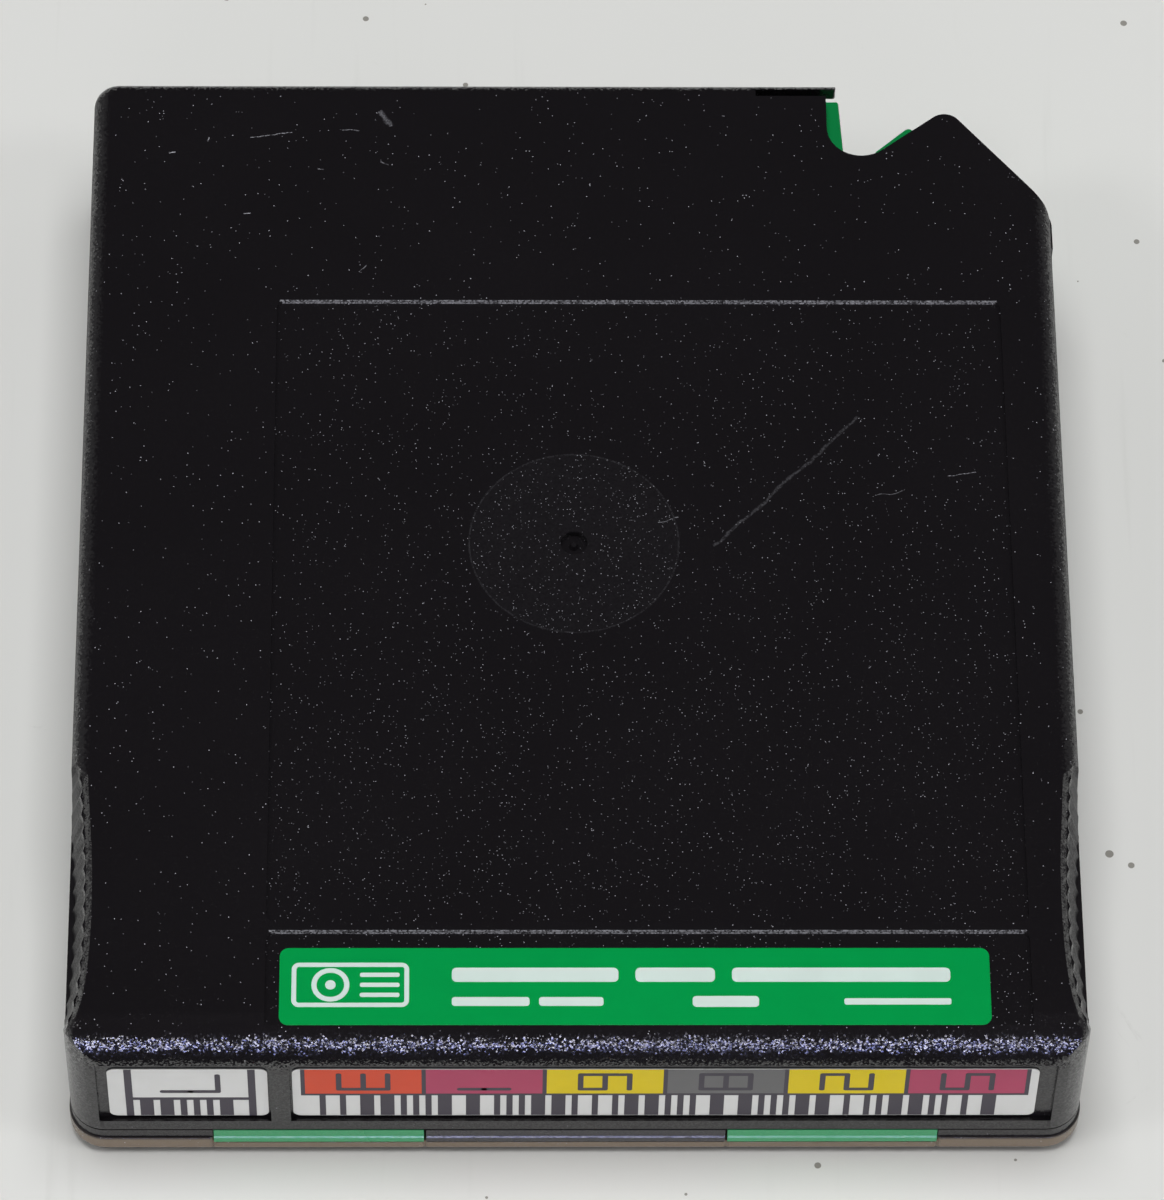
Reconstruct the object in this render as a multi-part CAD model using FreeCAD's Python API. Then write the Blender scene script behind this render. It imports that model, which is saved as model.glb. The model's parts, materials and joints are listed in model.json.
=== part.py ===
"""Half-inch single-reel data tape cartridge, built piece by piece in millimetres.

Frame: X to the right, Y from the label edge to the leader-block edge, Z up.
The origin is on the ground, at the middle of the case, on the reel's axis.
"""
import FreeCAD
import Part
import math
import os

Vec = FreeCAD.Vector
UP = Vec(0, 0, 1)

# ---------------------------------------------------------------- driving dimensions
# Case
CASE_WIDTH = 109.0
CASE_LENGTH = 125.0
CASE_HEIGHT = 24.5
WALL = 2.0                      # upright walls of the cover
TOP_THICKNESS = 2.0             # top plate of the cover
FLOOR_THICKNESS = 2.0           # floor of the base tray
STACKING_RIB_HEIGHT = 0.5       # two ribs under the floor that the cartridge rests on
STACKING_RIB_WIDTH = 2.6
STACKING_RIB_END_INSET = 20.5
STACKING_RIB_INSET = 11.5
RIM_HEIGHT = 3.5                # outer rim of the base, up to the parting line
COVER_REVEAL = 0.2              # the cover stands in from the base rim all round
LIP_HEIGHT = 1.7                # locating lip of the base above the parting line
LIP_THICKNESS = 1.2
LIP_CLEARANCE = 0.15
FRONT_CORNER_RADIUS = 4.0
BACK_CORNER_RADIUS = 3.0
TOP_EDGE_RADIUS = 2.2
FRONT_TOP_DEPTH = 4.0           # the upper front edge is a quarter of an ellipse
FRONT_TOP_DROP = 5.0
CAVITY_CORNER_RADIUS = 1.5
RIM_BOTTOM_RADIUS = 0.9
RIM_TOP_BEVEL = 0.3

# Leader-block port, in the back right corner, measured in from the right side and the back
PORT_WIDTH = 25.3               # from the right side to the left edge of the notch
NOTCH_RADIUS = 3.85
PEAK_INSET_X = 11.55            # the two straight edges of the top plate would meet here
PEAK_INSET_Y = 4.27
PEAK_RADIUS = 2.0
NOTCH_SLOPE_DEG = 37.3          # edge from the notch up to the peak
CHAMFER_SLOPE_DEG = 50.3        # edge from the peak down to the right side
CHAMFER_RADIUS = 4.0
PORT_WALL_INSET = 22.3          # the right wall of the cover stops this far from the back
POST_LENGTH = 6.0               # corner post of the base beside the port
POST_THICKNESS = 2.2
POST_GAP = 0.3
PORT_FLOOR_MARGIN = 1.0         # the floor of the port starts this far left of the leader block's arm

# Latch finger that holds the leader block in the port
FINGER_LENGTH = 8.0             # from its root to the notch
FINGER_REACH = 0.9              # its room goes on this far past the edge of the notch
FINGER_THICKNESS = 1.3
FINGER_GAP = 1.0
FINGER_FOOT = 2.5               # the finger ends this far above the parting line
HOOK_REACH = 1.15               # a short hook at the end of the finger reaches over the block
HOOK_GAP = 0.3

# Finger grips: fluted scoops high up in both sides
GRIP_INSET = 1.5                # from the front of the case
GRIP_LENGTH = 33.4
GRIP_DEPTH = 2.0                # at the top face
GRIP_LEDGE = 18.5               # the scoops end in a ledge at this height
GRIP_SPREAD = 1.6               # how far the wall slopes outwards from the top face to the ledge
GRIP_LEAD = 0.7                 # bevel where the scoop meets the top face
GRIP_SHAPE = [                  # share of the grip's length from the back, share of its depth
    (0.0, 0.0), (0.03, 0.45), (0.09, 0.62), (0.31, 0.88), (0.52, 1.0), (0.70, 0.95), (0.88, 0.64), (1.0, 0.1),
]
GRIP_PAD = 3.2                  # extra wall inside the grips
GRIP_PAD_OVERLAP = 2.4
FLUTE_COUNT = 15
FLUTE_FACETS = 4
FLUTE_DEPTH = 0.25

# Recesses for labels
LABEL_THICKNESS = 0.15
TOP_RECESS_DEPTH = 0.4
TOP_RECESS_LEFT_INSET = 21.5    # insets are measured from the sides of the case
TOP_RECESS_RIGHT_INSET = 6.5
TOP_RECESS_FRONT_INSET = 14.8
TOP_RECESS_BACK_INSET = 30.8
STRIP_INSET = 2.5
STRIP_RUN_OUT = 3.0             # the strip's cut runs out over the rounded front edge
STRIP_BACK_INSET = 13.7
RECESS_CORNER_RADIUS = 1.0
TOP_LABEL_WIDTH = 9.2
TOP_LABEL_LEFT_GAP = 1.5
TOP_LABEL_RIGHT_GAP = 4.4
TOP_LABEL_FRONT_GAP = 0.1
TOP_LABEL_RADIUS = 1.0
FRONT_RECESS_DEPTH = 0.6
FRONT_RECESS_BOTTOM = 6.9
FRONT_RECESS_LEFT_INSET = 3.5
FRONT_RECESS_RIGHT_INSET = 3.6
SMALL_RECESS_LENGTH = 18.4
FRONT_DIVIDER = 2.1
FRONT_LABEL_BELOW = 0.45        # gap under both front labels
FRONT_LABEL_ABOVE = 1.6
FRONT_LABEL_RADIUS = 0.9
SMALL_LABEL_LEFT_GAP = 1.15
VOLUME_LABEL_RIGHT_GAP = 1.85
LABEL_END_GAP = 0.25

# Centre of the top plate
DIMPLE_RADIUS = 1.5
DIMPLE_DEPTH = 0.9
PIP_RADIUS = 0.55
PIP_HEIGHT = 0.5

# Colour bars and file-protect selector, in a rebate along the front lower edge
BAR_BOTTOM = 2.3
BAR_TOP = 4.8
BAR_ROW_INSET = 15.5            # from each side of the case to the row of bars
SELECTOR_WIDTH = 32.4
BAR_DEPTH = 2.0
BAR_GAP = 0.1
SELECTOR_STOP = 0.5             # room behind the selector when it is pressed right in
SELECTOR_TRAVEL = 1.2
TRIM_GROOVE = 0.5               # small grooves in the rim under the ends of the bars
GROOVE_DEPTH = 0.15             # groove across the front of the cover, level with the tops of the bars
GROOVE_HEIGHT = 0.2
GROOVE_LENGTH = 16.5            # along the sides, from the front of the case

# Reel
REEL_ROOM = 5.8                 # from the reel to the sides of the case
HUB_DIAMETER = 50.0
HUB_WALL = 2.5
FLANGE_THICKNESS = 1.2
TAPE_WIDTH = 12.65
TAPE_CLEARANCE = 0.1
PACK_INSET = 4.7                # from the edge of the flanges to the outer turn of tape
REEL_REST_GAP = 0.3             # reel above the floor of the base
WINDOW_DIAMETER = 43.5          # hole in the base through which the drive reaches the hub

# Drive teeth under the hub
DRIVE_TEETH = 60
DRIVE_RING_INNER = 15.0
DRIVE_RING_OUTER = 18.5
DRIVE_TOOTH_HEIGHT = 1.0
DRIVE_RING_DEPTH = 1.6
DRIVE_TOOTH_FOOT = 0.86         # width of a tooth at its foot, as a share of the pitch
DRIVE_TOOTH_FLANK = 0.55        # how far each flank slopes in towards the tip
TOOTH_MARGIN = 0.2              # bare ring inside and outside the drive teeth

# Brake
BRAKE_TEETH = 24
BRAKE_RING_INNER = 10.5
BRAKE_RING_OUTER = 13.5
BRAKE_TOOTH_HEIGHT = 1.2
BRAKE_TOOTH_FOOT = 0.40
BRAKE_TOOTH_FLANK = 0.3
BRAKE_TOOTH_MARGIN = 0.1
BRAKE_TIP_GAP = 0.3
BRAKE_DISC_RADIUS = 14.2
BRAKE_DISC_THICKNESS = 2.0
BRAKE_NOSE_RADIUS = 8.4
BRAKE_NOSE_CHAMFER = 0.9
HUB_HOLE_CLEARANCE = 0.4
BRAKE_NOSE_HEIGHT = 4.0
GUIDE_POST_SIDE = 7.0
GUIDE_CLEARANCE = 0.2
GUIDE_SLEEVE_RADIUS = 6.6
GUIDE_SLEEVE_HEIGHT = 8.0
GUIDE_POST_OVERLAP = 5.0
SPRING_SEAT_RADIUS = 10.2
SPRING_SEAT_HEIGHT = 3.0
SPRING_RADIUS = 8.2
SPRING_WIRE = 0.9
SPRING_TURNS = 4.5
SPRING_STEPS = 12               # straight lengths in one turn
SPRING_WIRE_SIDES = 6
SPRING_END_GAP = 0.2

# Ring inside the top plate that keeps the reel from lifting
STOP_RING_RADIUS = 31.0
STOP_RING_THICKNESS = 1.4
STOP_RING_GAP = 0.9

# Leader block
BLOCK_CLEARANCE = 0.3
BLOCK_ARM_OFFSET = 0.1          # left face of the arm, right of the edge of the notch
BLOCK_ARM_WIDTH = 1.45
BLOCK_ARM_INSET = 1.65          # end of the arm, from the back of the case
BLOCK_ARM_LEAN = 0.4            # the arm's right face leans out by this
BLOCK_ARM_FACE = 6.95           # over this length
BLOCK_SETBACK = 3.8             # outer face of the block behind the chamfer of the case
BLOCK_TIP_DROP = 0.86           # tip of the block, in front of the peak of the top plate
BLOCK_TIP_RADIUS = 0.6
BLOCK_SLOT_SLOPE_DEG = 41.8
BLOCK_END_OFFSET = 6.45         # right end of the outer face, right of the peak
BLOCK_EYE_OFFSET = 3.8          # eye, right of the edge of the notch
BLOCK_EYE_DROP = 5.43           # eye, in front of the peak
BLOCK_EYE_RADIUS = 2.0
BLOCK_BACK_OFFSET = 4.7         # back of the block, left of the edge of the notch
BLOCK_BACK_DROP = 8.03
BLOCK_BELLY_OFFSET = 1.8        # two lower corners, each from the notch or peak, and in front of it
BLOCK_BELLY_DROP = 11.63
BLOCK_TOE_OFFSET = 1.65
BLOCK_TOE_DROP = 17.63
CLAMP_PIN_RADIUS = 1.7
CLAMP_PIN_OFFSET = 1.8
CLAMP_PIN_DROP = 5.23
CLAMP_CLEARANCE = 0.15
CLAMP_MOUTH = 2.0
TAPE_THICKNESS = 0.12

# Screws that hold the case together
SCREW_HEAD_RADIUS = 2.5
SCREW_HEAD_THICKNESS = 1.3
SCREW_SHANK_RADIUS = 1.3
SCREW_LENGTH = 10.0
SCREW_DRIVE_RADIUS = 1.3        # six-sided recess for the driver
SCREW_DRIVE_DEPTH = 0.9
SCREW_HOLE_CLEARANCE = 0.2
SCREW_INSET = 6.9
SCREW_BOSS_RADIUS = 3.2
SCREW_CLEARANCE = 0.05
PORT_SCREW_INSET = 33.5
PORT_SCREW_SEAT = 0.6           # how far the boss beside the port sits into the side wall

# Locating notches in the sides of the base, open downwards
LOCATOR_INSET = 31.5            # from the back of the case
LOCATOR_WIDTH = 5.0
LOCATOR_DEPTH = 3.0
LOCATOR_HEIGHT = 1.4

# ---------------------------------------------------------------- derived places
HALF_WIDTH = CASE_WIDTH / 2
HALF_LENGTH = CASE_LENGTH / 2
COVER_HALF_WIDTH = HALF_WIDTH - COVER_REVEAL
COVER_HALF_LENGTH = HALF_LENGTH - COVER_REVEAL
FLOOR_BOTTOM = STACKING_RIB_HEIGHT
FLOOR_TOP = FLOOR_BOTTOM + FLOOR_THICKNESS
CEILING = CASE_HEIGHT - TOP_THICKNESS
PORT_LEFT = HALF_WIDTH - PORT_WIDTH
PEAK_X = HALF_WIDTH - PEAK_INSET_X
PEAK_Y = HALF_LENGTH - PEAK_INSET_Y
PORT_WALL_END = HALF_LENGTH - PORT_WALL_INSET
FINGER_START = PORT_LEFT - FINGER_LENGTH
FINGER_END = PORT_LEFT + FINGER_REACH
GRIP_FRONT = -HALF_LENGTH + GRIP_INSET
GRIP_BACK = GRIP_FRONT + GRIP_LENGTH
NOTCH_TAN = math.tan(math.radians(NOTCH_SLOPE_DEG))
CHAMFER_TAN = math.tan(math.radians(CHAMFER_SLOPE_DEG))
OUTSIDE = 20.0                  # how far cutting tools reach past the case
EPS = 0.02

TOP_RECESS_LEFT = -HALF_WIDTH + TOP_RECESS_LEFT_INSET
TOP_RECESS_RIGHT = HALF_WIDTH - TOP_RECESS_RIGHT_INSET
TOP_LABEL_LEFT = TOP_RECESS_LEFT + TOP_LABEL_LEFT_GAP
TOP_LABEL_RIGHT = TOP_RECESS_RIGHT - TOP_LABEL_RIGHT_GAP
TOP_LABEL_FRONT = -HALF_LENGTH + STRIP_INSET + TOP_LABEL_FRONT_GAP
FRONT_RECESS_LEFT = -HALF_WIDTH + FRONT_RECESS_LEFT_INSET
FRONT_RECESS_RIGHT = HALF_WIDTH - FRONT_RECESS_RIGHT_INSET
FRONT_RECESS_TOP = CASE_HEIGHT - FRONT_TOP_DROP
FRONT_DIVIDER_LEFT = FRONT_RECESS_LEFT + SMALL_RECESS_LENGTH
FRONT_DIVIDER_RIGHT = FRONT_DIVIDER_LEFT + FRONT_DIVIDER
BAR_ROW_HALF = HALF_WIDTH - BAR_ROW_INSET

REEL_DIAMETER = CASE_WIDTH - 2 * REEL_ROOM
PACK_DIAMETER = REEL_DIAMETER - 2 * PACK_INSET
HUB_BOTTOM = FLOOR_TOP + REEL_REST_GAP
LOWER_FLANGE_TOP = HUB_BOTTOM + FLANGE_THICKNESS
TAPE_BOTTOM = LOWER_FLANGE_TOP + TAPE_CLEARANCE
TAPE_TOP = TAPE_BOTTOM + TAPE_WIDTH
HUB_TOP = TAPE_TOP + TAPE_CLEARANCE
REEL_TOP = HUB_TOP + FLANGE_THICKNESS
HUB_WEB_TOP = HUB_BOTTOM + 1.6
BRAKE_DISC_BOTTOM = HUB_WEB_TOP + BRAKE_TOOTH_HEIGHT + BRAKE_TIP_GAP
BRAKE_DISC_TOP = BRAKE_DISC_BOTTOM + BRAKE_DISC_THICKNESS
SLEEVE_TOP = BRAKE_DISC_TOP + GUIDE_SLEEVE_HEIGHT
SPRING_SEAT = CEILING - SPRING_SEAT_HEIGHT
BLOCK_BOTTOM = FLOOR_TOP + BLOCK_CLEARANCE
BLOCK_TOP = CEILING - BLOCK_CLEARANCE
CLAMP_PIN_X = PORT_LEFT - CLAMP_PIN_OFFSET
CLAMP_PIN_Y = PEAK_Y - CLAMP_PIN_DROP


# ---------------------------------------------------------------- small helpers
def rounded_wire(points, z=0.0):
    """Closed outline through (x, y, radius) points, each corner rounded by a tangent arc."""
    edges = []
    starts = []
    ends = []
    count = len(points)
    for i, (x, y, radius) in enumerate(points):
        here = Vec(x, y, z)
        before = Vec(points[i - 1][0], points[i - 1][1], z) - here
        after = Vec(points[(i + 1) % count][0], points[(i + 1) % count][1], z) - here
        if radius <= 0:
            starts.append(here)
            ends.append(here)
            edges.append(None)
            continue
        before.normalize()
        after.normalize()
        half = before.getAngle(after) / 2
        reach = radius / math.tan(half)
        middle = before + after
        middle.normalize()
        centre = here + middle * (radius / math.sin(half))
        start = here + before * reach
        end = here + after * reach
        through = centre - middle * radius
        starts.append(start)
        ends.append(end)
        edges.append(Part.Arc(start, through, end).toShape())
    outline = []
    for i in range(count):
        if edges[i] is not None:
            outline.append(edges[i])
        following = starts[(i + 1) % count]
        if (following - ends[i]).Length > 1e-6:
            outline.append(Part.makeLine(ends[i], following))
    return Part.Wire(outline)


def prism(points, bottom, top):
    """Upright solid on a rounded outline."""
    return Part.Face(rounded_wire(points, bottom)).extrude(UP * (top - bottom))


def rectangle(left, right, front, back, radius=0.0):
    return [(left, front, radius), (right, front, radius), (right, back, radius), (left, back, radius)]


def box(left, right, front, back, bottom, top):
    return Part.makeBox(right - left, back - front, top - bottom, Vec(left, front, bottom))


def cylinder(radius, bottom, top, x=0.0, y=0.0):
    return Part.makeCylinder(radius, top - bottom, Vec(x, y, bottom))


def ring(outer, inner, bottom, top):
    return cylinder(outer, bottom, top).cut(cylinder(inner, bottom - 1, top + 1))


def along_x(points, left, right):
    """Solid with a (y, z) outline, drawn out along X."""
    corners = [Vec(left, y, z) for y, z in points]
    corners.append(corners[0])
    return Part.Face(Part.makePolygon(corners)).extrude(Vec(right - left, 0, 0))


def edges_where(shape, test):
    return [edge for edge in shape.Edges if test(edge)]


def at_height(edge, z):
    box_of_edge = edge.BoundBox
    return abs(box_of_edge.ZMin - z) < 1e-4 and abs(box_of_edge.ZMax - z) < 1e-4


def save(name, shape):
    shape = shape.removeSplitter()
    if not shape.isValid():
        raise ValueError(name + " is not a valid solid")
    shape.exportStep("parts/" + name + ".step")
    print(name, "solids", len(shape.Solids), "volume", round(shape.Volume, 1))
    return shape


# ---------------------------------------------------------------- case outlines
def case_block(reveal, bottom, top):
    """The case as a plain upright block, standing in from the full outline by a reveal."""
    x = HALF_WIDTH - reveal
    y = HALF_LENGTH - reveal
    front = FRONT_CORNER_RADIUS - reveal
    back = BACK_CORNER_RADIUS - reveal
    return prism([(-x, -y, front), (x, -y, front), (x, y, back), (-x, y, back)], bottom, top)


def port_cutter(reveal, bottom, top):
    """What the port takes off the back right corner: the notch, and all beyond the chamfer."""
    side = HALF_WIDTH - reveal + EPS
    shift = reveal - COVER_REVEAL
    notch_y = PEAK_Y - (PEAK_X - PORT_LEFT) * NOTCH_TAN
    peak_x = PEAK_X - shift
    peak_y = PEAK_Y - shift
    side_y = peak_y - (side - peak_x) * CHAMFER_TAN
    far = HALF_LENGTH + OUTSIDE
    outline = [
        (PORT_LEFT, far, 0),
        (PORT_LEFT, notch_y, NOTCH_RADIUS),
        (peak_x, peak_y, PEAK_RADIUS),
        (side, side_y, CHAMFER_RADIUS),
        (side, side_y - OUTSIDE, 0),
        (side + OUTSIDE, side_y - OUTSIDE, 0),
        (side + OUTSIDE, far, 0),
    ]
    return prism(outline, bottom, top)


def cavity(inset, bottom, top):
    """Room inside the cover walls, narrower between the grips."""
    x = COVER_HALF_WIDTH - WALL - inset
    y = COVER_HALF_LENGTH - WALL - inset
    narrow = COVER_HALF_WIDTH - WALL - GRIP_PAD - inset
    step = GRIP_BACK + GRIP_PAD_OVERLAP + inset
    r = CAVITY_CORNER_RADIUS
    outline = [
        (-narrow, -y, r), (narrow, -y, r), (narrow, step, r / 2), (x, step, r / 2),
        (x, y, r), (-x, y, r), (-x, step, r / 2), (-narrow, step, r / 2),
    ]
    return prism(outline, bottom, top)


def screw_places():
    x = HALF_WIDTH - SCREW_INSET
    y = HALF_LENGTH - SCREW_INSET
    port_x = COVER_HALF_WIDTH - WALL - SCREW_BOSS_RADIUS + PORT_SCREW_SEAT
    return [(-x, -y), (x, -y), (-x, y), (port_x, HALF_LENGTH - PORT_SCREW_INSET)]


# ---------------------------------------------------------------- cover
def grip_line(steps, flute_depth):
    """Points along the right grip at the top face, with a rounded flute in every few of them."""
    length = GRIP_BACK - GRIP_FRONT
    curve = Part.BSplineCurve()
    curve.interpolate([Vec(COVER_HALF_WIDTH - share * GRIP_DEPTH, GRIP_BACK - along * length, CASE_HEIGHT)
                       for along, share in GRIP_SHAPE])
    line = []
    for i in range(steps + 1):
        y = GRIP_BACK - length * i / steps
        place = curve.value(curve.parameter(Vec(COVER_HALF_WIDTH, y, CASE_HEIGHT)))
        phase = math.pi * (i % FLUTE_FACETS) / FLUTE_FACETS
        line.append(place - Vec(flute_depth * math.sin(phase), 0, 0))
    return line


def outside_of(line, inset, top, spread, drop):
    """Solid on the outer side of a line of points, drawn down from a height along a slope."""
    far = COVER_HALF_WIDTH + 4 * GRIP_DEPTH
    outline = [Vec(place.x - inset, place.y, top) for place in line]
    outline += [Vec(far, GRIP_FRONT, top), Vec(far, GRIP_BACK, top), outline[0]]
    return Part.Face(Part.makePolygon(outline)).extrude(Vec(spread, 0, -drop))


def grip_cutters():
    """Both grips: a fluted wall that slopes outwards to a ledge, with a bevel at the top face."""
    above = 1.0
    slant = GRIP_SPREAD / (CASE_HEIGHT - GRIP_LEDGE)
    drop = CASE_HEIGHT + above - GRIP_LEDGE
    fluted = outside_of(grip_line(FLUTE_COUNT * FLUTE_FACETS, FLUTE_DEPTH), slant * above,
                        CASE_HEIGHT + above, slant * drop, drop)
    lead_drop = GRIP_LEAD + above
    lead_foot = FLUTE_DEPTH - slant * GRIP_LEAD
    lead = outside_of(grip_line(FLUTE_COUNT, 0), lead_foot + lead_drop, CASE_HEIGHT + above,
                      lead_drop, lead_drop)
    both = []
    for cutter in (fluted, lead):
        both += [cutter, cutter.mirror(Vec(0, 0, 0), Vec(1, 0, 0))]
    return both


def seam_groove():
    """Thin groove level with the tops of the bars, across the front and round its corners."""
    kept = case_block(COVER_REVEAL + GROOVE_DEPTH, BAR_TOP - 1, BAR_TOP + 1)
    return box(-HALF_WIDTH - 1, HALF_WIDTH + 1, -HALF_LENGTH - 1, GROOVE_LENGTH - HALF_LENGTH,
               BAR_TOP, BAR_TOP + GROOVE_HEIGHT).cut(kept)


def cover_block():
    """Outside form of the cover before the port is cut: a block with rounded upper edges."""
    body = case_block(COVER_REVEAL, RIM_HEIGHT, CASE_HEIGHT)
    body = body.makeFillet(TOP_EDGE_RADIUS, edges_where(body, lambda e: at_height(e, CASE_HEIGHT)))
    side = -HALF_WIDTH - 1
    front = -COVER_HALF_LENGTH
    back = front + FRONT_TOP_DEPTH
    low = CASE_HEIGHT - FRONT_TOP_DROP
    edge_box = box(side, -side, front - 1, back, low, CASE_HEIGHT + 1)
    ellipse = Part.Ellipse(Vec(side, back, CASE_HEIGHT), Vec(side, front, low), Vec(side, back, low))
    roller = Part.Face(Part.Wire(ellipse.toShape())).extrude(Vec(CASE_WIDTH + 2, 0, 0))
    return body.cut(edge_box.cut(roller))


def outer_cover():
    return cover_block().cut(port_cutter(COVER_REVEAL, 0, CASE_HEIGHT + 1))


def finger_hook():
    """Rounded end of the latch finger, above the leader block."""
    front = COVER_HALF_LENGTH - FINGER_THICKNESS
    root = PORT_LEFT - 1.0
    end = PORT_LEFT + HOOK_REACH
    plan = [(root, front, 0), (end, front, 0.25), (end, COVER_HALF_LENGTH, 0.7),
            (root, COVER_HALF_LENGTH, 0)]
    return cover_block().common(prism(plan, BLOCK_TOP + HOOK_GAP, CASE_HEIGHT + 1))


def cover_inside():
    """Everything the hollow of the cover removes, port openings included."""
    room = cavity(0, RIM_HEIGHT - 1, CEILING)
    port = box(FINGER_END, HALF_WIDTH + 1, PORT_WALL_END, HALF_LENGTH + 1, RIM_HEIGHT - 1, CEILING)
    room = room.fuse(port)
    keep_back = COVER_HALF_LENGTH - FINGER_THICKNESS
    slot = box(FINGER_START, FINGER_END + 1, keep_back - FINGER_GAP, keep_back,
               RIM_HEIGHT - 1, CASE_HEIGHT + 1)
    foot = box(FINGER_START, FINGER_END + 1, keep_back - FINGER_GAP, HALF_LENGTH + 1,
               RIM_HEIGHT - 1, RIM_HEIGHT + FINGER_FOOT)
    return room, [slot, foot]


def cover_bosses():
    """Guide post, spring seat, reel stop ring and screw bosses under the top plate."""
    half = GUIDE_POST_SIDE / 2
    post_bottom = SLEEVE_TOP - GUIDE_POST_OVERLAP
    stop_inside = STOP_RING_RADIUS - STOP_RING_THICKNESS
    pieces = [
        box(-half, half, -half, half, post_bottom, CEILING + EPS),
        cylinder(SPRING_SEAT_RADIUS, SPRING_SEAT, CEILING + EPS),
        ring(STOP_RING_RADIUS, stop_inside, REEL_TOP + STOP_RING_GAP, CEILING + EPS),
    ]
    for x, y in screw_places():
        pieces.append(cylinder(SCREW_BOSS_RADIUS, FLOOR_TOP, CEILING + EPS, x, y))
    return pieces


def top_recesses():
    """Shallow label field and label strip in the top, and the two label fields in front."""
    floor = CASE_HEIGHT - TOP_RECESS_DEPTH
    r = RECESS_CORNER_RADIUS
    front = -HALF_LENGTH
    field = prism(rectangle(TOP_RECESS_LEFT, TOP_RECESS_RIGHT, front + TOP_RECESS_FRONT_INSET,
                            HALF_LENGTH - TOP_RECESS_BACK_INSET, r), floor, CASE_HEIGHT + 1)
    strip = prism(rectangle(TOP_RECESS_LEFT, TOP_RECESS_RIGHT, front + STRIP_INSET - STRIP_RUN_OUT,
                            front + STRIP_BACK_INSET, r), floor, CASE_HEIGHT + 1)
    front = -COVER_HALF_LENGTH
    fields = []
    for left, right in ((FRONT_RECESS_LEFT, FRONT_DIVIDER_LEFT), (FRONT_DIVIDER_RIGHT, FRONT_RECESS_RIGHT)):
        fields.append(box(left, right, front - 1, front + FRONT_RECESS_DEPTH,
                          FRONT_RECESS_BOTTOM, FRONT_RECESS_TOP))
    return [field, strip] + fields


def bar_rebate(bottom, top):
    """Rebate for the bars along the front lower edge, at a share of its height."""
    inner = -COVER_HALF_LENGTH + BAR_DEPTH + EPS
    return box(-BAR_ROW_HALF, BAR_ROW_HALF, -HALF_LENGTH - 1, inner, bottom, top)


def top_shell():
    shell = outer_cover()
    room, finger_cuts = cover_inside()
    shell = shell.cut(room)
    shell = shell.multiFuse(cover_bosses())
    cutters = top_recesses() + finger_cuts
    cutters.append(bar_rebate(RIM_HEIGHT - 1, BAR_TOP))
    cutters += grip_cutters() + [seam_groove()]
    for x, y in screw_places():
        cutters.append(cylinder(SCREW_SHANK_RADIUS + SCREW_CLEARANCE,
                                0, FLOOR_BOTTOM + SCREW_LENGTH + 1, x, y))
    dimple = cylinder(DIMPLE_RADIUS, CASE_HEIGHT - TOP_RECESS_DEPTH - DIMPLE_DEPTH, CASE_HEIGHT + 1)
    pip = Part.makeCone(PIP_RADIUS, PIP_RADIUS / 2, PIP_HEIGHT + EPS,
                        Vec(0, 0, CASE_HEIGHT - TOP_RECESS_DEPTH - DIMPLE_DEPTH - EPS))
    shell = shell.cut(cutters)
    return shell.cut(dimple).multiFuse([pip, finger_hook()])


# ---------------------------------------------------------------- base
def locating_lip():
    """Lip that stands inside the cover walls, left out at the port, the screws and the selector."""
    top = RIM_HEIGHT + LIP_HEIGHT
    outer = cavity(LIP_CLEARANCE, FLOOR_TOP - EPS, top)
    inner = cavity(LIP_CLEARANCE + LIP_THICKNESS, FLOOR_TOP - 1, top + 1)
    lip = outer.cut(inner)
    gaps = [
        box(FINGER_START - 1, HALF_WIDTH + 1, PORT_WALL_END - 1, HALF_LENGTH + 1, FLOOR_TOP - 1, top + 1),
        box(-SELECTOR_WIDTH / 2, SELECTOR_WIDTH / 2, -HALF_LENGTH, -HALF_LENGTH + 8, BAR_BOTTOM, top + 1),
    ]
    for x, y in screw_places():
        gaps.append(cylinder(SCREW_BOSS_RADIUS + LIP_CLEARANCE, FLOOR_TOP, top + 1, x, y))
    return lip.cut(gaps)


def corner_post():
    """Post of the base at the right end of the port, in line with the rim."""
    front = PORT_WALL_END + POST_GAP
    plan = case_block(0, FLOOR_TOP - EPS, BLOCK_TOP).cut(port_cutter(0, 0, CASE_HEIGHT))
    return plan.common(box(HALF_WIDTH - POST_THICKNESS, HALF_WIDTH + 1, front, front + POST_LENGTH,
                           FLOOR_TOP - EPS, BLOCK_TOP))


def stacking_ribs():
    half = HALF_WIDTH - STACKING_RIB_INSET
    width = STACKING_RIB_WIDTH / 2
    end = HALF_LENGTH - STACKING_RIB_END_INSET
    ribs = []
    for x in (-half, half):
        outline = rectangle(x - width, x + width, -end, end, width * 0.98)
        ribs.append(prism(outline, 0, FLOOR_BOTTOM + EPS))
    return ribs


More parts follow.
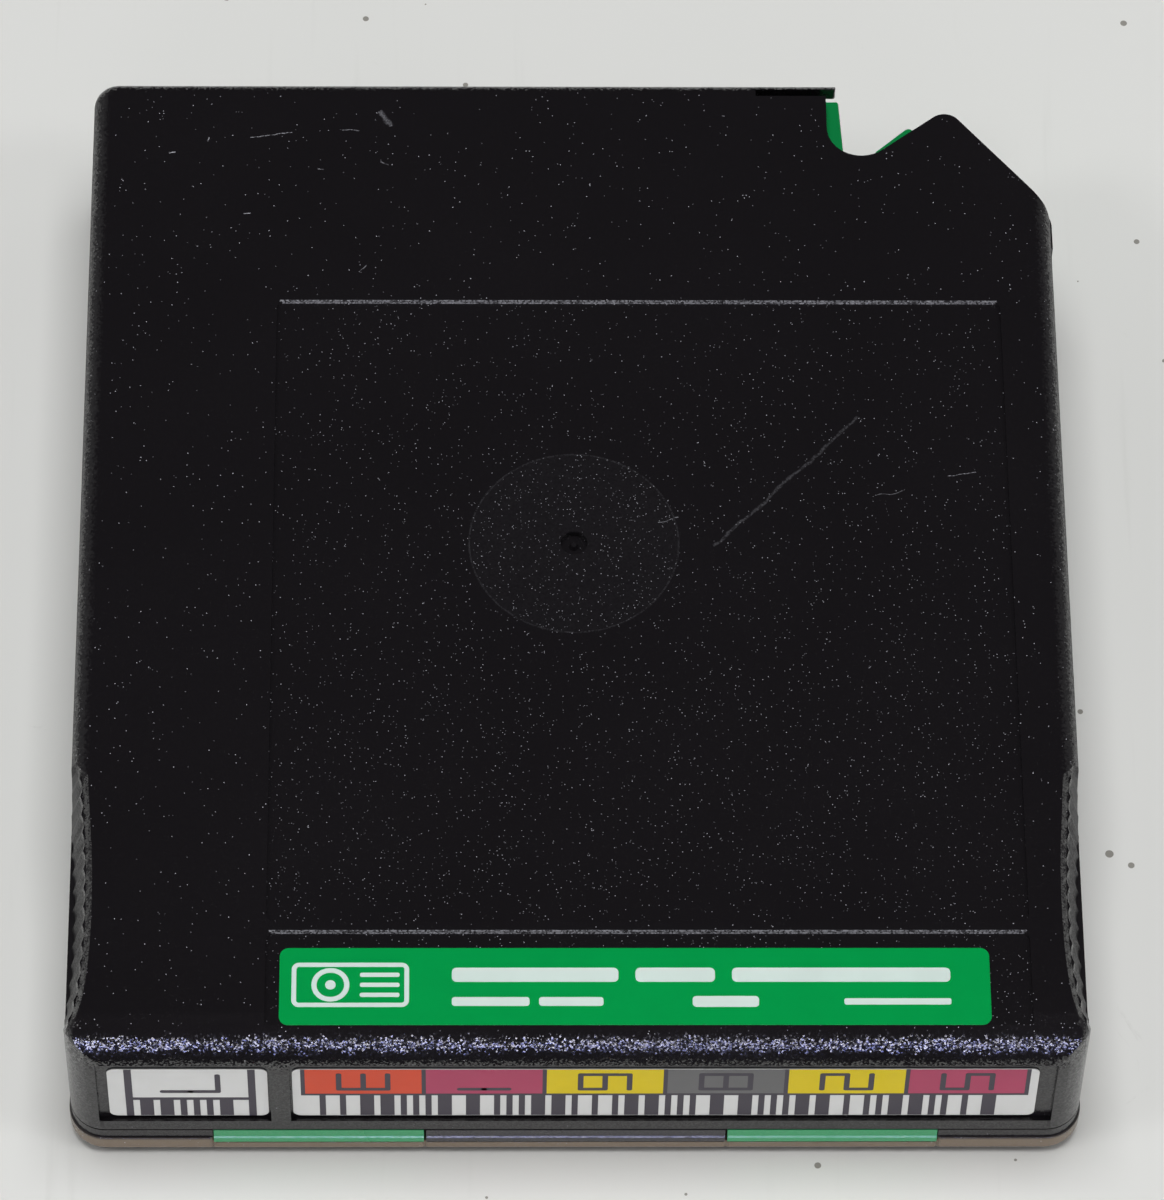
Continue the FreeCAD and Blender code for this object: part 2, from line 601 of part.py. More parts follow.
def base_shell():
    tray = case_block(0, FLOOR_BOTTOM, RIM_HEIGHT)
    tray = tray.makeFillet(RIM_BOTTOM_RADIUS, edges_where(tray, lambda e: at_height(e, FLOOR_BOTTOM)))
    tray = tray.makeChamfer(RIM_TOP_BEVEL, edges_where(tray, lambda e: at_height(e, RIM_HEIGHT)))
    tray = tray.cut(cavity(LIP_CLEARANCE, FLOOR_TOP, RIM_HEIGHT + 1))
    port_left = PORT_LEFT + BLOCK_ARM_OFFSET - PORT_FLOOR_MARGIN
    port_floor = box(port_left, HALF_WIDTH - POST_THICKNESS, PORT_WALL_END, HALF_LENGTH + 1,
                     FLOOR_TOP, RIM_HEIGHT + 1)
    past_post = box(port_left, HALF_WIDTH + 1, PORT_WALL_END + POST_GAP + POST_LENGTH, HALF_LENGTH + 1,
                    FLOOR_TOP, RIM_HEIGHT + 1)
    tray = tray.cut([port_cutter(0, -1, RIM_HEIGHT + 1), port_floor, past_post])
    tray = tray.multiFuse([locating_lip(), corner_post()] + stacking_ribs())
    cutters = [bar_rebate(BAR_BOTTOM, RIM_HEIGHT + 1)]
    cutters.append(cylinder(WINDOW_DIAMETER / 2, -1, FLOOR_TOP + 1))
    selector = SELECTOR_WIDTH / 2
    back = -COVER_HALF_LENGTH + BAR_DEPTH + SELECTOR_TRAVEL + SELECTOR_STOP
    cutters.append(box(-selector, selector, -HALF_LENGTH - 1, back, BAR_BOTTOM, RIM_HEIGHT + 1))
    for x in (-BAR_ROW_HALF, -selector, selector, BAR_ROW_HALF):
        y = -HALF_LENGTH - TRIM_GROOVE * 0.4
        groove = prism([(x - TRIM_GROOVE, y, 0), (x + TRIM_GROOVE, y, 0), (x, y + TRIM_GROOVE, 0)],
                       -1, BAR_BOTTOM + 1)
        cutters.append(groove)
    for x, y in screw_places():
        cutters.append(cylinder(SCREW_BOSS_RADIUS + LIP_CLEARANCE, FLOOR_TOP, CASE_HEIGHT, x, y))
        cutters.append(cylinder(SCREW_HEAD_RADIUS + SCREW_HOLE_CLEARANCE,
                                -1, FLOOR_BOTTOM + SCREW_HEAD_THICKNESS, x, y))
        cutters.append(cylinder(SCREW_SHANK_RADIUS + SCREW_HOLE_CLEARANCE, -1, FLOOR_TOP + 1, x, y))
    locator_y = HALF_LENGTH - LOCATOR_INSET
    for side in (-1, 1):
        edge = side * HALF_WIDTH
        left, right = sorted((edge - side * LOCATOR_DEPTH, edge + side))
        cutters.append(box(left, right, locator_y - LOCATOR_WIDTH / 2, locator_y + LOCATOR_WIDTH / 2,
                           -1, FLOOR_BOTTOM + LOCATOR_HEIGHT))
    return tray.cut(cutters)


# ---------------------------------------------------------------- reel
def tooth_solid(inner, outer, foot, tip, spread, flank):
    """Radial tooth with flat flanks: wider outwards, and narrower at the tip by the flank each side."""
    def section(radius):
        half = radius * spread
        return [Vec(radius, -half, foot), Vec(radius, flank - half, tip),
                Vec(radius, half - flank, tip), Vec(radius, half, foot)]

    near = section(inner)
    far = section(outer)
    outlines = [near, far]
    for i in range(4):
        j = (i + 1) % 4
        outlines.append([near[i], near[j], far[j], far[i]])
    faces = [Part.Face(Part.makePolygon(outline + outline[:1])) for outline in outlines]
    solid = Part.Solid(Part.makeShell(faces))
    solid.fix(EPS / 10, EPS / 10, EPS / 10)
    return solid if solid.Volume > 0 else solid.reversed()


def face_teeth(count, inner, outer, foot, tip, foot_share, flank):
    """Ring of radial teeth, as separate solids on one circle."""
    pitch = 2 * math.pi / count
    tooth = tooth_solid(inner, outer, foot, tip, math.tan(foot_share * pitch / 2), flank)
    teeth = []
    for i in range(count):
        copy = tooth.copy()
        copy.rotate(Vec(0, 0, 0), UP, math.degrees(i * pitch))
        teeth.append(copy)
    return teeth


def reel_hub():
    """Hub, lower flange and web in one moulding, with brake teeth above and drive teeth below."""
    hub_radius = HUB_DIAMETER / 2
    bore = hub_radius - HUB_WALL
    half = REEL_DIAMETER / 2
    profile = [
        (BRAKE_NOSE_RADIUS + HUB_HOLE_CLEARANCE, HUB_BOTTOM), (half, HUB_BOTTOM),
        (half, LOWER_FLANGE_TOP), (hub_radius, LOWER_FLANGE_TOP), (hub_radius, HUB_TOP),
        (bore, HUB_TOP), (bore, HUB_WEB_TOP), (BRAKE_NOSE_RADIUS + HUB_HOLE_CLEARANCE, HUB_WEB_TOP),
    ]
    corners = [Vec(r, 0, z) for r, z in profile]
    corners.append(corners[0])
    body = Part.Face(Part.makePolygon(corners)).revolve(Vec(0, 0, 0), UP, 360)
    ring_bottom = HUB_BOTTOM - DRIVE_RING_DEPTH + DRIVE_TOOTH_HEIGHT
    drive_ring = ring(DRIVE_RING_OUTER, DRIVE_RING_INNER, ring_bottom, HUB_BOTTOM + EPS)
    drive = face_teeth(DRIVE_TEETH, DRIVE_RING_INNER + TOOTH_MARGIN, DRIVE_RING_OUTER - TOOTH_MARGIN,
                       ring_bottom + EPS, ring_bottom - DRIVE_TOOTH_HEIGHT,
                       DRIVE_TOOTH_FOOT, DRIVE_TOOTH_FLANK)
    brake = face_teeth(BRAKE_TEETH, BRAKE_RING_INNER, BRAKE_RING_OUTER,
                       HUB_WEB_TOP - EPS, HUB_WEB_TOP + BRAKE_TOOTH_HEIGHT,
                       BRAKE_TOOTH_FOOT, BRAKE_TOOTH_FLANK)
    return body.multiFuse([drive_ring] + drive + brake)


def reel_upper_flange():
    """Upper flange, a disc that lies on top of the hub."""
    return ring(REEL_DIAMETER / 2, HUB_DIAMETER / 2 - HUB_WALL, HUB_TOP, REEL_TOP)


def tape_pack():
    """All the turns of tape wound on the hub."""
    return ring(PACK_DIAMETER / 2, HUB_DIAMETER / 2, TAPE_BOTTOM, TAPE_TOP)


# ---------------------------------------------------------------- brake
def brake_button():
    """Brake: nose below, toothed disc, and a sleeve that slides on the square post of the cover."""
    nose = cylinder(BRAKE_NOSE_RADIUS, BRAKE_DISC_BOTTOM - BRAKE_NOSE_HEIGHT, BRAKE_DISC_BOTTOM + EPS)
    nose = nose.makeChamfer(BRAKE_NOSE_CHAMFER,
                            edges_where(nose, lambda e: at_height(e, BRAKE_DISC_BOTTOM - BRAKE_NOSE_HEIGHT)))
    disc = cylinder(BRAKE_DISC_RADIUS, BRAKE_DISC_BOTTOM, BRAKE_DISC_TOP)
    sleeve = cylinder(GUIDE_SLEEVE_RADIUS, BRAKE_DISC_TOP - EPS, SLEEVE_TOP)
    teeth = face_teeth(BRAKE_TEETH, BRAKE_RING_INNER + BRAKE_TOOTH_MARGIN,
                       BRAKE_RING_OUTER - BRAKE_TOOTH_MARGIN,
                       BRAKE_DISC_BOTTOM + EPS, BRAKE_DISC_BOTTOM - BRAKE_TOOTH_HEIGHT,
                       BRAKE_TOOTH_FOOT, BRAKE_TOOTH_FLANK)
    for tooth in teeth:
        tooth.rotate(Vec(0, 0, 0), UP, 180.0 / BRAKE_TEETH)
    button = nose.multiFuse([disc, sleeve] + teeth)
    half = GUIDE_POST_SIDE / 2 + GUIDE_CLEARANCE
    socket = box(-half, half, -half, half, BRAKE_DISC_TOP, SLEEVE_TOP + 1)
    return button.cut(socket)


def brake_spring():
    """Coil between the brake disc and its seat: a six-sided wire in short straight lengths."""
    wire_radius = SPRING_WIRE / 2
    bottom = BRAKE_DISC_TOP + SPRING_END_GAP + wire_radius
    height = SPRING_SEAT - SPRING_END_GAP - wire_radius - bottom
    count = round(SPRING_TURNS * SPRING_STEPS)
    places = []
    for i in range(count + 1):
        turn = 2 * math.pi * i / SPRING_STEPS
        places.append(Vec(SPRING_RADIUS * math.cos(turn), SPRING_RADIUS * math.sin(turn),
                          bottom + height * i / count))
    runs = [(places[i + 1] - places[i]).normalize() for i in range(count)]
    outward = Vec(1, 0, 0)
    section = []
    for k in range(SPRING_WIRE_SIDES):
        turn = 2 * math.pi * k / SPRING_WIRE_SIDES
        across = outward * (wire_radius * math.cos(turn))
        section.append(places[0] + across + UP * (wire_radius * math.sin(turn)))
    sections = [section]
    for i in range(1, count + 1):
        run = runs[i - 1]
        mitre = run + runs[i] if i < count else run
        sections.append([corner + run * ((places[i] - corner).dot(mitre) / run.dot(mitre))
                         for corner in sections[-1]])
    faces = []
    for near, far in zip(sections, sections[1:]):
        for k in range(SPRING_WIRE_SIDES):
            j = (k + 1) % SPRING_WIRE_SIDES
            faces.append(Part.Face(Part.makePolygon([near[k], near[j], far[j], far[k], near[k]])))
    faces.append(Part.Face(Part.makePolygon(sections[0] + sections[0][:1])))
    faces.append(Part.Face(Part.makePolygon(sections[-1] + sections[-1][:1])))
    shell = Part.Shell(faces)
    shell.sewShape()
    return Part.Solid(shell)


# ---------------------------------------------------------------- leader block and tape
def block_face_line(x):
    """Y of the outer face of the block at a given x: the chamfer of the case, set back."""
    setback = BLOCK_SETBACK / math.cos(math.radians(CHAMFER_SLOPE_DEG))
    return PEAK_Y - (x - PEAK_X) * CHAMFER_TAN - setback


def leader_block():
    """Block in the port, with an open eye for the threading pin and a clamp for the tape end."""
    exit_tan = 1 / CHAMFER_TAN
    arm_left = PORT_LEFT + BLOCK_ARM_OFFSET
    arm_right = arm_left + BLOCK_ARM_WIDTH
    arm_y = HALF_LENGTH - BLOCK_ARM_INSET
    back_x = PORT_LEFT - BLOCK_BACK_OFFSET
    end_x = PEAK_X + BLOCK_END_OFFSET
    tip_y = PEAK_Y - BLOCK_TIP_DROP
    tip_x = PEAK_X - (tip_y - block_face_line(PEAK_X)) / CHAMFER_TAN
    shoulder_y = arm_y - (arm_left - back_x) * exit_tan
    slot_tan = math.tan(math.radians(BLOCK_SLOT_SLOPE_DEG))
    lean = BLOCK_ARM_LEAN / BLOCK_ARM_FACE
    slot_depth = arm_y - tip_y + (tip_x - arm_right) * slot_tan
    slot_depth /= 1 + lean * slot_tan
    outline = [
        (arm_left, arm_y, 0.3), (back_x, shoulder_y, 1.0), (back_x, PEAK_Y - BLOCK_BACK_DROP, 1.5),
        (PORT_LEFT + BLOCK_BELLY_OFFSET, PEAK_Y - BLOCK_BELLY_DROP, 3.0),
        (PEAK_X + BLOCK_TOE_OFFSET, PEAK_Y - BLOCK_TOE_DROP, 2.0),
        (end_x, block_face_line(end_x), 1.2),
        (tip_x, tip_y, BLOCK_TIP_RADIUS),
        (arm_right + lean * slot_depth, arm_y - slot_depth, 1.0),
        (arm_right, arm_y, 0.3),
    ]
    block = prism(outline, BLOCK_BOTTOM, BLOCK_TOP)
    low = BLOCK_BOTTOM - 1
    high = BLOCK_TOP + 1
    eye = cylinder(BLOCK_EYE_RADIUS, low, high, PORT_LEFT + BLOCK_EYE_OFFSET, PEAK_Y - BLOCK_EYE_DROP)
    pocket = cylinder(CLAMP_PIN_RADIUS + CLAMP_CLEARANCE, low, high, CLAMP_PIN_X, CLAMP_PIN_Y)
    mouth = box(back_x - 2, CLAMP_PIN_X, CLAMP_PIN_Y - CLAMP_MOUTH / 2, CLAMP_PIN_Y + CLAMP_MOUTH / 2,
                low, high)
    return block.cut([eye, pocket, mouth])


def tape_clamp_pin():
    """Pin that wedges the end of the tape into the block."""
    return cylinder(CLAMP_PIN_RADIUS, BLOCK_BOTTOM + 0.5, BLOCK_TOP - 0.5, CLAMP_PIN_X, CLAMP_PIN_Y)


def tape_run():
    """Free stretch of tape from the clamp to where it meets the pack, on its tangent."""
    start = Vec(CLAMP_PIN_X - CLAMP_PIN_RADIUS - 0.1, CLAMP_PIN_Y, 0)
    radius = PACK_DIAMETER / 2 + TAPE_THICKNESS
    distance = start.Length
    swing = math.asin(radius / distance)
    towards = math.atan2(-start.y, -start.x) - swing
    length = math.sqrt(distance * distance - radius * radius)
    strip = box(0, length, -TAPE_THICKNESS / 2, TAPE_THICKNESS / 2, TAPE_BOTTOM, TAPE_TOP)
    strip.rotate(Vec(0, 0, 0), UP, math.degrees(towards))
    strip.translate(start)
    return strip


# ---------------------------------------------------------------- bars, selector, labels, screws
def bar(left, right):
    """Bar in the rebate: its face follows the cover above the parting line and the rim below."""
    back = -COVER_HALF_LENGTH + BAR_DEPTH
    top = BAR_TOP - BAR_GAP
    bottom = BAR_BOTTOM + BAR_GAP
    cover_face = -COVER_HALF_LENGTH
    rim_face = -HALF_LENGTH
    ledge = RIM_HEIGHT - RIM_TOP_BEVEL
    outline = [(back, bottom), (rim_face, bottom), (rim_face, ledge), (cover_face, RIM_HEIGHT),
               (cover_face, top), (back, top)]
    return along_x(outline, left + BAR_GAP, right - BAR_GAP)


def top_label():
    floor = CASE_HEIGHT - TOP_RECESS_DEPTH
    back = TOP_LABEL_FRONT + TOP_LABEL_WIDTH
    outline = rectangle(TOP_LABEL_LEFT, TOP_LABEL_RIGHT, TOP_LABEL_FRONT, back, TOP_LABEL_RADIUS)
    return prism(outline, floor, floor + LABEL_THICKNESS)


def front_label(left, right):
    """Label with rounded corners, stuck to the floor of a front recess."""
    height = FRONT_RECESS_TOP - FRONT_RECESS_BOTTOM - FRONT_LABEL_BELOW - FRONT_LABEL_ABOVE
    label = prism(rectangle(left, right, 0, height, FRONT_LABEL_RADIUS), 0, LABEL_THICKNESS)
    label.rotate(Vec(0, 0, 0), Vec(1, 0, 0), 90)
    label.translate(Vec(0, -COVER_HALF_LENGTH + FRONT_RECESS_DEPTH, FRONT_RECESS_BOTTOM + FRONT_LABEL_BELOW))
    return label


def case_screws():
    screws = []
    for x, y in screw_places():
        head = cylinder(SCREW_HEAD_RADIUS, FLOOR_BOTTOM, FLOOR_BOTTOM + SCREW_HEAD_THICKNESS, x, y)
        shank = cylinder(SCREW_SHANK_RADIUS, FLOOR_BOTTOM, FLOOR_BOTTOM + SCREW_LENGTH, x, y)
        recess = []
        for i in range(6):
            turn = i * math.pi / 3
            across = SCREW_DRIVE_RADIUS * math.cos(turn)
            recess.append((x + across, y + SCREW_DRIVE_RADIUS * math.sin(turn), 0))
        drive = prism(recess, FLOOR_BOTTOM - 1, FLOOR_BOTTOM + SCREW_DRIVE_DEPTH)
        screws.append(head.fuse(shank).cut(drive).removeSplitter())
    return Part.Compound([screw.Solids[0] for screw in screws])


# ---------------------------------------------------------------- write the parts
def main():
    os.makedirs("parts", exist_ok=True)
    selector = SELECTOR_WIDTH / 2
    save("top_shell", top_shell())
    save("base_shell", base_shell())
    save("reel_hub", reel_hub())
    save("reel_upper_flange", reel_upper_flange())
    save("tape_pack", tape_pack())
    save("brake_button", brake_button())
    save("brake_spring", brake_spring())
    save("leader_block", leader_block())
    save("tape_clamp_pin", tape_clamp_pin())
    save("tape_run", tape_run())
    save("ident_bar_left", bar(-BAR_ROW_HALF, -selector))
    save("file_protect_selector", bar(-selector, selector))
    save("ident_bar_right", bar(selector, BAR_ROW_HALF))
    save("top_label", top_label())
    save("front_label_small", front_label(FRONT_RECESS_LEFT + SMALL_LABEL_LEFT_GAP,
                                          FRONT_DIVIDER_LEFT - LABEL_END_GAP))
    save("volume_label", front_label(FRONT_DIVIDER_RIGHT + LABEL_END_GAP,
                                     FRONT_RECESS_RIGHT - VOLUME_LABEL_RIGHT_GAP))
    case_screws().exportStep("parts/case_screws.step")


main()
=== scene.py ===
# %% [markdown]
# # A half-inch data tape cartridge
# The real object is a flat box of black plastic that holds one reel of tape. A green block waits in
# its corner port, and a green label and two printed labels tell people and machines which tape it is.
# The solid frame already gives every size, so this lesson loads it first and then works on what a
# solid model leaves out: small edge roundings, moulded grain, printed labels, wear and light.

# %% Load the frame
import json
import math

import bpy
from mathutils import Matrix, Vector

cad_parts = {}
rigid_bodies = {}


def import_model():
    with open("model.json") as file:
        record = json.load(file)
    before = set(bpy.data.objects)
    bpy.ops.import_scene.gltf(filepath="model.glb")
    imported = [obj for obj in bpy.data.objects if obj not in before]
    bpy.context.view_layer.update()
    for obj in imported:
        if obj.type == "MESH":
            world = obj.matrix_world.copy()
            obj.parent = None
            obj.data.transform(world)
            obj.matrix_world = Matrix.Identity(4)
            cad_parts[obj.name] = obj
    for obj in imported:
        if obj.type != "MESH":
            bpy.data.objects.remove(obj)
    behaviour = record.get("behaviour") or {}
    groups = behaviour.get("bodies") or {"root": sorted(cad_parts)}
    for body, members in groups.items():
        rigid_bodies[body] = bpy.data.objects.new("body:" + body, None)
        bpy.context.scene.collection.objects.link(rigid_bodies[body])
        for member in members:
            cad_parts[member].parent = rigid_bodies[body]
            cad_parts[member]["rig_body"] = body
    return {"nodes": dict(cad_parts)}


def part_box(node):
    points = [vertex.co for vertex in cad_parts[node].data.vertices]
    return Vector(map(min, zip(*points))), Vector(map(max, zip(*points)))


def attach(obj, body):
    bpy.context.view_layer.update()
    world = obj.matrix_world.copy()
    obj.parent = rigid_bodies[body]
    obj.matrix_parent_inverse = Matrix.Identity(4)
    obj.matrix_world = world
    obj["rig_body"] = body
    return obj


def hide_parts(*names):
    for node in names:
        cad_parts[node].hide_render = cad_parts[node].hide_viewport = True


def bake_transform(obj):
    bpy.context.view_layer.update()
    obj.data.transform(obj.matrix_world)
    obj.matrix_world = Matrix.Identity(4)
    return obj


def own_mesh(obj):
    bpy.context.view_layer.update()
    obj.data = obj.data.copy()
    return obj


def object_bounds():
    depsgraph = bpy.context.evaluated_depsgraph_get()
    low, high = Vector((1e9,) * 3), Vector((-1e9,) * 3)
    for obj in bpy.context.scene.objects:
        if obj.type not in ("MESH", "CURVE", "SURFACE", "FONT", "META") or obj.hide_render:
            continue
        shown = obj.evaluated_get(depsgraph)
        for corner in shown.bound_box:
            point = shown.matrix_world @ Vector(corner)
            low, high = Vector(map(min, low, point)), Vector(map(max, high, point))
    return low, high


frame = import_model()
nodes = frame["nodes"]
cad_low, cad_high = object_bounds()
MM = 0.001
print("frame box", [round(v / MM, 2) for v in (*cad_low, *cad_high)])

# %% [markdown]
# ## Camera
# The cartridge lies on a table and is seen from above and in front through a long lens, so its
# upright edges hardly converge. A camera is a place and three directions at right angles: where it
# looks, its own right and its own up. They are worked out from a pan, a drop and a small roll.

# %% Camera
LENS_MM = 209.77
PAN = math.radians(1.78146)
DROP = math.radians(58.3888)
ROLL = math.radians(1.55214)
CAMERA_AT = Vector((-11.608, -407.193, 674.033)) * MM
ahead = Vector((math.sin(PAN) * math.cos(DROP), math.cos(PAN) * math.cos(DROP), -math.sin(DROP)))
level = Vector((math.cos(PAN), -math.sin(PAN), 0))
upward = level.cross(ahead)
side = level * math.cos(ROLL) + upward * math.sin(ROLL)
crown = upward * math.cos(ROLL) - level * math.sin(ROLL)
turn = Matrix((side, crown, -ahead)).transposed()
camera_data = bpy.data.cameras.new("camera")
camera_data.lens = LENS_MM
camera_data.sensor_width = 36
camera_data.clip_start = 0.01
camera = bpy.data.objects.new("camera", camera_data)
bpy.context.scene.collection.objects.link(camera)
camera.matrix_world = Matrix.Translation(CAMERA_AT) @ turn.to_4x4()
bpy.context.scene.camera = camera
print("camera", [round(v, 3) for v in camera.location])

# %% [markdown]
# ## Nodes in a few words
# Every finish below is a small node tree, and a few helpers keep them readable. One adds a node,
# sets its values and joins its inputs, and one starts a material and hands back its shader. The
# others mix two colours, make a colour uneven, fade a number in, do sums, and turn colours as eyes
# name them into the values that light needs.

# %% Node helpers
def add_node(mat, kind, values=None, **settings):
    """A node of a kind, with settings as properties and values as socket values or links."""
    node = mat.node_tree.nodes.new(kind)
    for key, value in settings.items():
        setattr(node, key, value)
    for key, value in (values or {}).items():
        if isinstance(value, bpy.types.NodeSocket):
            mat.node_tree.links.new(value, node.inputs[key])
        else:
            node.inputs[key].default_value = value
    return node


def new_finish(name, **values):
    """A material with one Principled shader whose plain sockets are set here."""
    mat = bpy.data.materials.new(name)
    mat.use_nodes = True
    shader = mat.node_tree.nodes["Principled BSDF"]
    for key, value in values.items():
        shader.inputs[key.replace("_", " ")].default_value = value
    return mat, shader


def link(mat, source, target):
    """Join an output to an input."""
    mat.node_tree.links.new(source, target)


def mixed(mat, share, first, second):
    """A colour between two, each a colour or a socket."""
    blend = add_node(mat, "ShaderNodeMix", {"Factor": share}, data_type="RGBA")
    for socket, value in (("A", first), ("B", second)):
        if isinstance(value, bpy.types.NodeSocket):
            link(mat, value, blend.inputs[socket])
        else:
            blend.inputs[socket].default_value = value
    return blend.outputs["Result"]


def ramp(mat, value, low, high, first, last):
    """A number that goes smoothly from first to last while a value goes from low to high."""
    fade = add_node(mat, "ShaderNodeMapRange", {"Value": value, "From Min": low, "From Max": high,
                                                "To Min": first, "To Max": last})
    fade.interpolation_type = "SMOOTHSTEP"
    return fade.outputs["Result"]


def worked(mat, operation, *values):
    """The result of a Math node for two or three numbers or sockets."""
    return add_node(mat, "ShaderNodeMath", dict(enumerate(values)), operation=operation).outputs[0]


def shades(mat, share, colour, spread):
    """A colour that runs from a little darker to a little lighter."""
    darker = [part * (1 - spread) for part in colour[:3]]
    lighter = [min(1.0, part * (1 + spread)) for part in colour[:3]]
    return mixed(mat, share, (*darker, 1.0), (*lighter, 1.0))


def srgb(red, green, blue):
    """A colour as eyes name it, 0 to 255, turned to the linear values that light needs."""
    linear = []
    for value in (red, green, blue):
        share = value / 255
        linear.append(share / 12.92 if share <= 0.04045 else ((share + 0.055) / 1.055) ** 2.4)
    return (*linear, 1.0)


print("middle grey as light", [round(part, 3) for part in srgb(128, 128, 128)])

# %% [markdown]
# ## Table
# The table is a plain pale sheet with small dark specks, rubbed marks and faint streaks from wiping.
# Its underside is see-through, and it has an opening that the cartridge hides, so the cartridge can
# be lit and looked at from below.

# %% Table top
TABLE_WIDE = 6000.0
OPENING_WIDE = 200.0    # the square opening as first cut
SIDE_COVER = 2.0        # how far the case reaches over the opening at its sides
END_COVER = 8.5         # and at its ends, on average
OPENING_FORWARD = 6.5
bpy.ops.object.select_all(action="DESELECT")
bpy.ops.mesh.primitive_plane_add(size=TABLE_WIDE * MM, location=(0, 0, -0.2 * MM))
table = bpy.context.object
table.name = "table"
bpy.ops.object.mode_set(mode="EDIT")
bpy.ops.mesh.select_all(action="SELECT")
bpy.ops.mesh.inset(thickness=(TABLE_WIDE - OPENING_WIDE) / 2 * MM)
half_opening = OPENING_WIDE / 2 * MM
across = (cad_high[0] - SIDE_COVER * MM) / half_opening
along = (cad_high[1] - END_COVER * MM) / half_opening
bpy.ops.transform.resize(value=(across, along, 1.0))
bpy.ops.transform.translate(value=(0.0, -OPENING_FORWARD * MM, 0.0))
bpy.ops.mesh.delete(type="FACE")
bpy.ops.object.mode_set(mode="OBJECT")
print("table", [round(v, 2) for v in table.dimensions[:2]])

# %% [markdown]
# ## Finish of the table
# A cloudy noise makes the sheet uneven. A distorted one, cut off near its peaks, gives the rubbed
# marks, and one that is stretched by a Mapping node gives the streaks. Voronoi cells hold the
# specks: only a few cells are picked, and each speck has a size of its own.

# %% Table finish
table_mat, table_shader = new_finish("pale_table", Roughness=0.6)
where = add_node(table_mat, "ShaderNodeTexCoord").outputs["Object"]
cloud = add_node(table_mat, "ShaderNodeTexNoise", {"Vector": where, "Scale": 11.0, "Detail": 5.0})
tint = mixed(table_mat, cloud.outputs["Fac"], srgb(213, 214, 211), srgb(221, 221, 219))
rubbed = add_node(table_mat, "ShaderNodeTexNoise", {"Vector": where, "Scale": 70.0, "Detail": 6.0,
                                                    "Roughness": 0.7, "Distortion": 1.5})
marks = ramp(table_mat, rubbed.outputs["Fac"], 0.66, 0.74, 0.0, 0.3)
worn = mixed(table_mat, marks, tint, srgb(184, 184, 180))
wiped = add_node(table_mat, "ShaderNodeMapping", {"Vector": where, "Scale": (420.0, 22.0, 1.0)})
streaks = add_node(table_mat, "ShaderNodeTexNoise", {"Vector": wiped.outputs["Vector"], "Scale": 1.0,
                                                     "Detail": 3.0})
streaked = mixed(table_mat, ramp(table_mat, streaks.outputs["Fac"], 0.6, 0.85, 0.0, 0.25), worn,
                 srgb(190, 190, 186))
speck_cells = add_node(table_mat, "ShaderNodeTexVoronoi", {"Vector": where, "Scale": 420.0})
speck_size = add_node(table_mat, "ShaderNodeSeparateColor", {"Color": speck_cells.outputs["Color"]})
reach = ramp(table_mat, speck_size.outputs["Red"], 0.955, 1.0, 0.0, 0.2)
specks = worked(table_mat, "LESS_THAN", speck_cells.outputs["Distance"], reach)
spotted = mixed(table_mat, specks, streaked, srgb(140, 138, 132))
link(table_mat, spotted, table_shader.inputs["Base Color"])
backside = add_node(table_mat, "ShaderNodeNewGeometry").outputs["Backfacing"]
clear = add_node(table_mat, "ShaderNodeBsdfTransparent")
swap = add_node(table_mat, "ShaderNodeMixShader", {0: backside})
link(table_mat, table_shader.outputs[0], swap.inputs[1])
link(table_mat, clear.outputs[0], swap.inputs[2])
link(table_mat, swap.outputs[0], table_mat.node_tree.nodes["Material Output"].inputs["Surface"])
table.data.materials.append(table_mat)
print("table finish", len(table_mat.node_tree.nodes), "nodes")

# %% [markdown]
# ## Room
# A black surface shows what it mirrors, so the room matters more than the lamps. It is pale to the
# left and right, where the rounded sides of the case catch it, and dark in front, above and behind.
# Light on black plastic is spent after a few bounces, so following it further only costs time.

# %% Room
world = bpy.data.worlds.new("room")
bpy.context.scene.world = world
world.use_nodes = True
background = world.node_tree.nodes["Background"]
looks = add_node(world, "ShaderNodeTexCoord").outputs["Generated"]
towards = add_node(world, "ShaderNodeSeparateXYZ", {"Vector": looks})
sideways = worked(world, "ABSOLUTE", towards.outputs["X"])
link(world, ramp(world, sideways, 0.35, 0.75, 0.03, 0.34), background.inputs["Strength"])
background.inputs["Color"].default_value = (1.0, 1.0, 1.0, 1.0)
bpy.context.scene.view_settings.view_transform = "Standard"
paths = bpy.context.scene.cycles
paths.max_bounces = 4
paths.diffuse_bounces = 2
paths.glossy_bounces = 2
print("room", world.name)

# %% [markdown]
# ## Lamps
# One broad lamp hangs straight above, where its shadow hides under the case. It is not seen in
# reflections, so the black top stays black. A small lamp on each side makes the grain glint. Two
# long thin lamps low in front, a white one over a blue one, make the rounded front edge glitter. A
# lamp under the floor lights the underside for a look from below.

# %% Lamps
def add_lamp(name, place, aim, wide, high, watts, colour=(1, 1, 1)):
    """A rectangular lamp at a place, turned to face a point."""
    data = bpy.data.lights.new(name, "AREA")
    data.shape = "RECTANGLE"
    data.size = wide
    data.size_y = high
    data.energy = watts
    data.color = colour
    lamp = bpy.data.objects.new(name, data)
    bpy.context.scene.collection.objects.link(lamp)
    lamp.location = place
    lamp.rotation_euler = (Vector(aim) - Vector(place)).to_track_quat("-Z", "Y").to_euler()
    return lamp


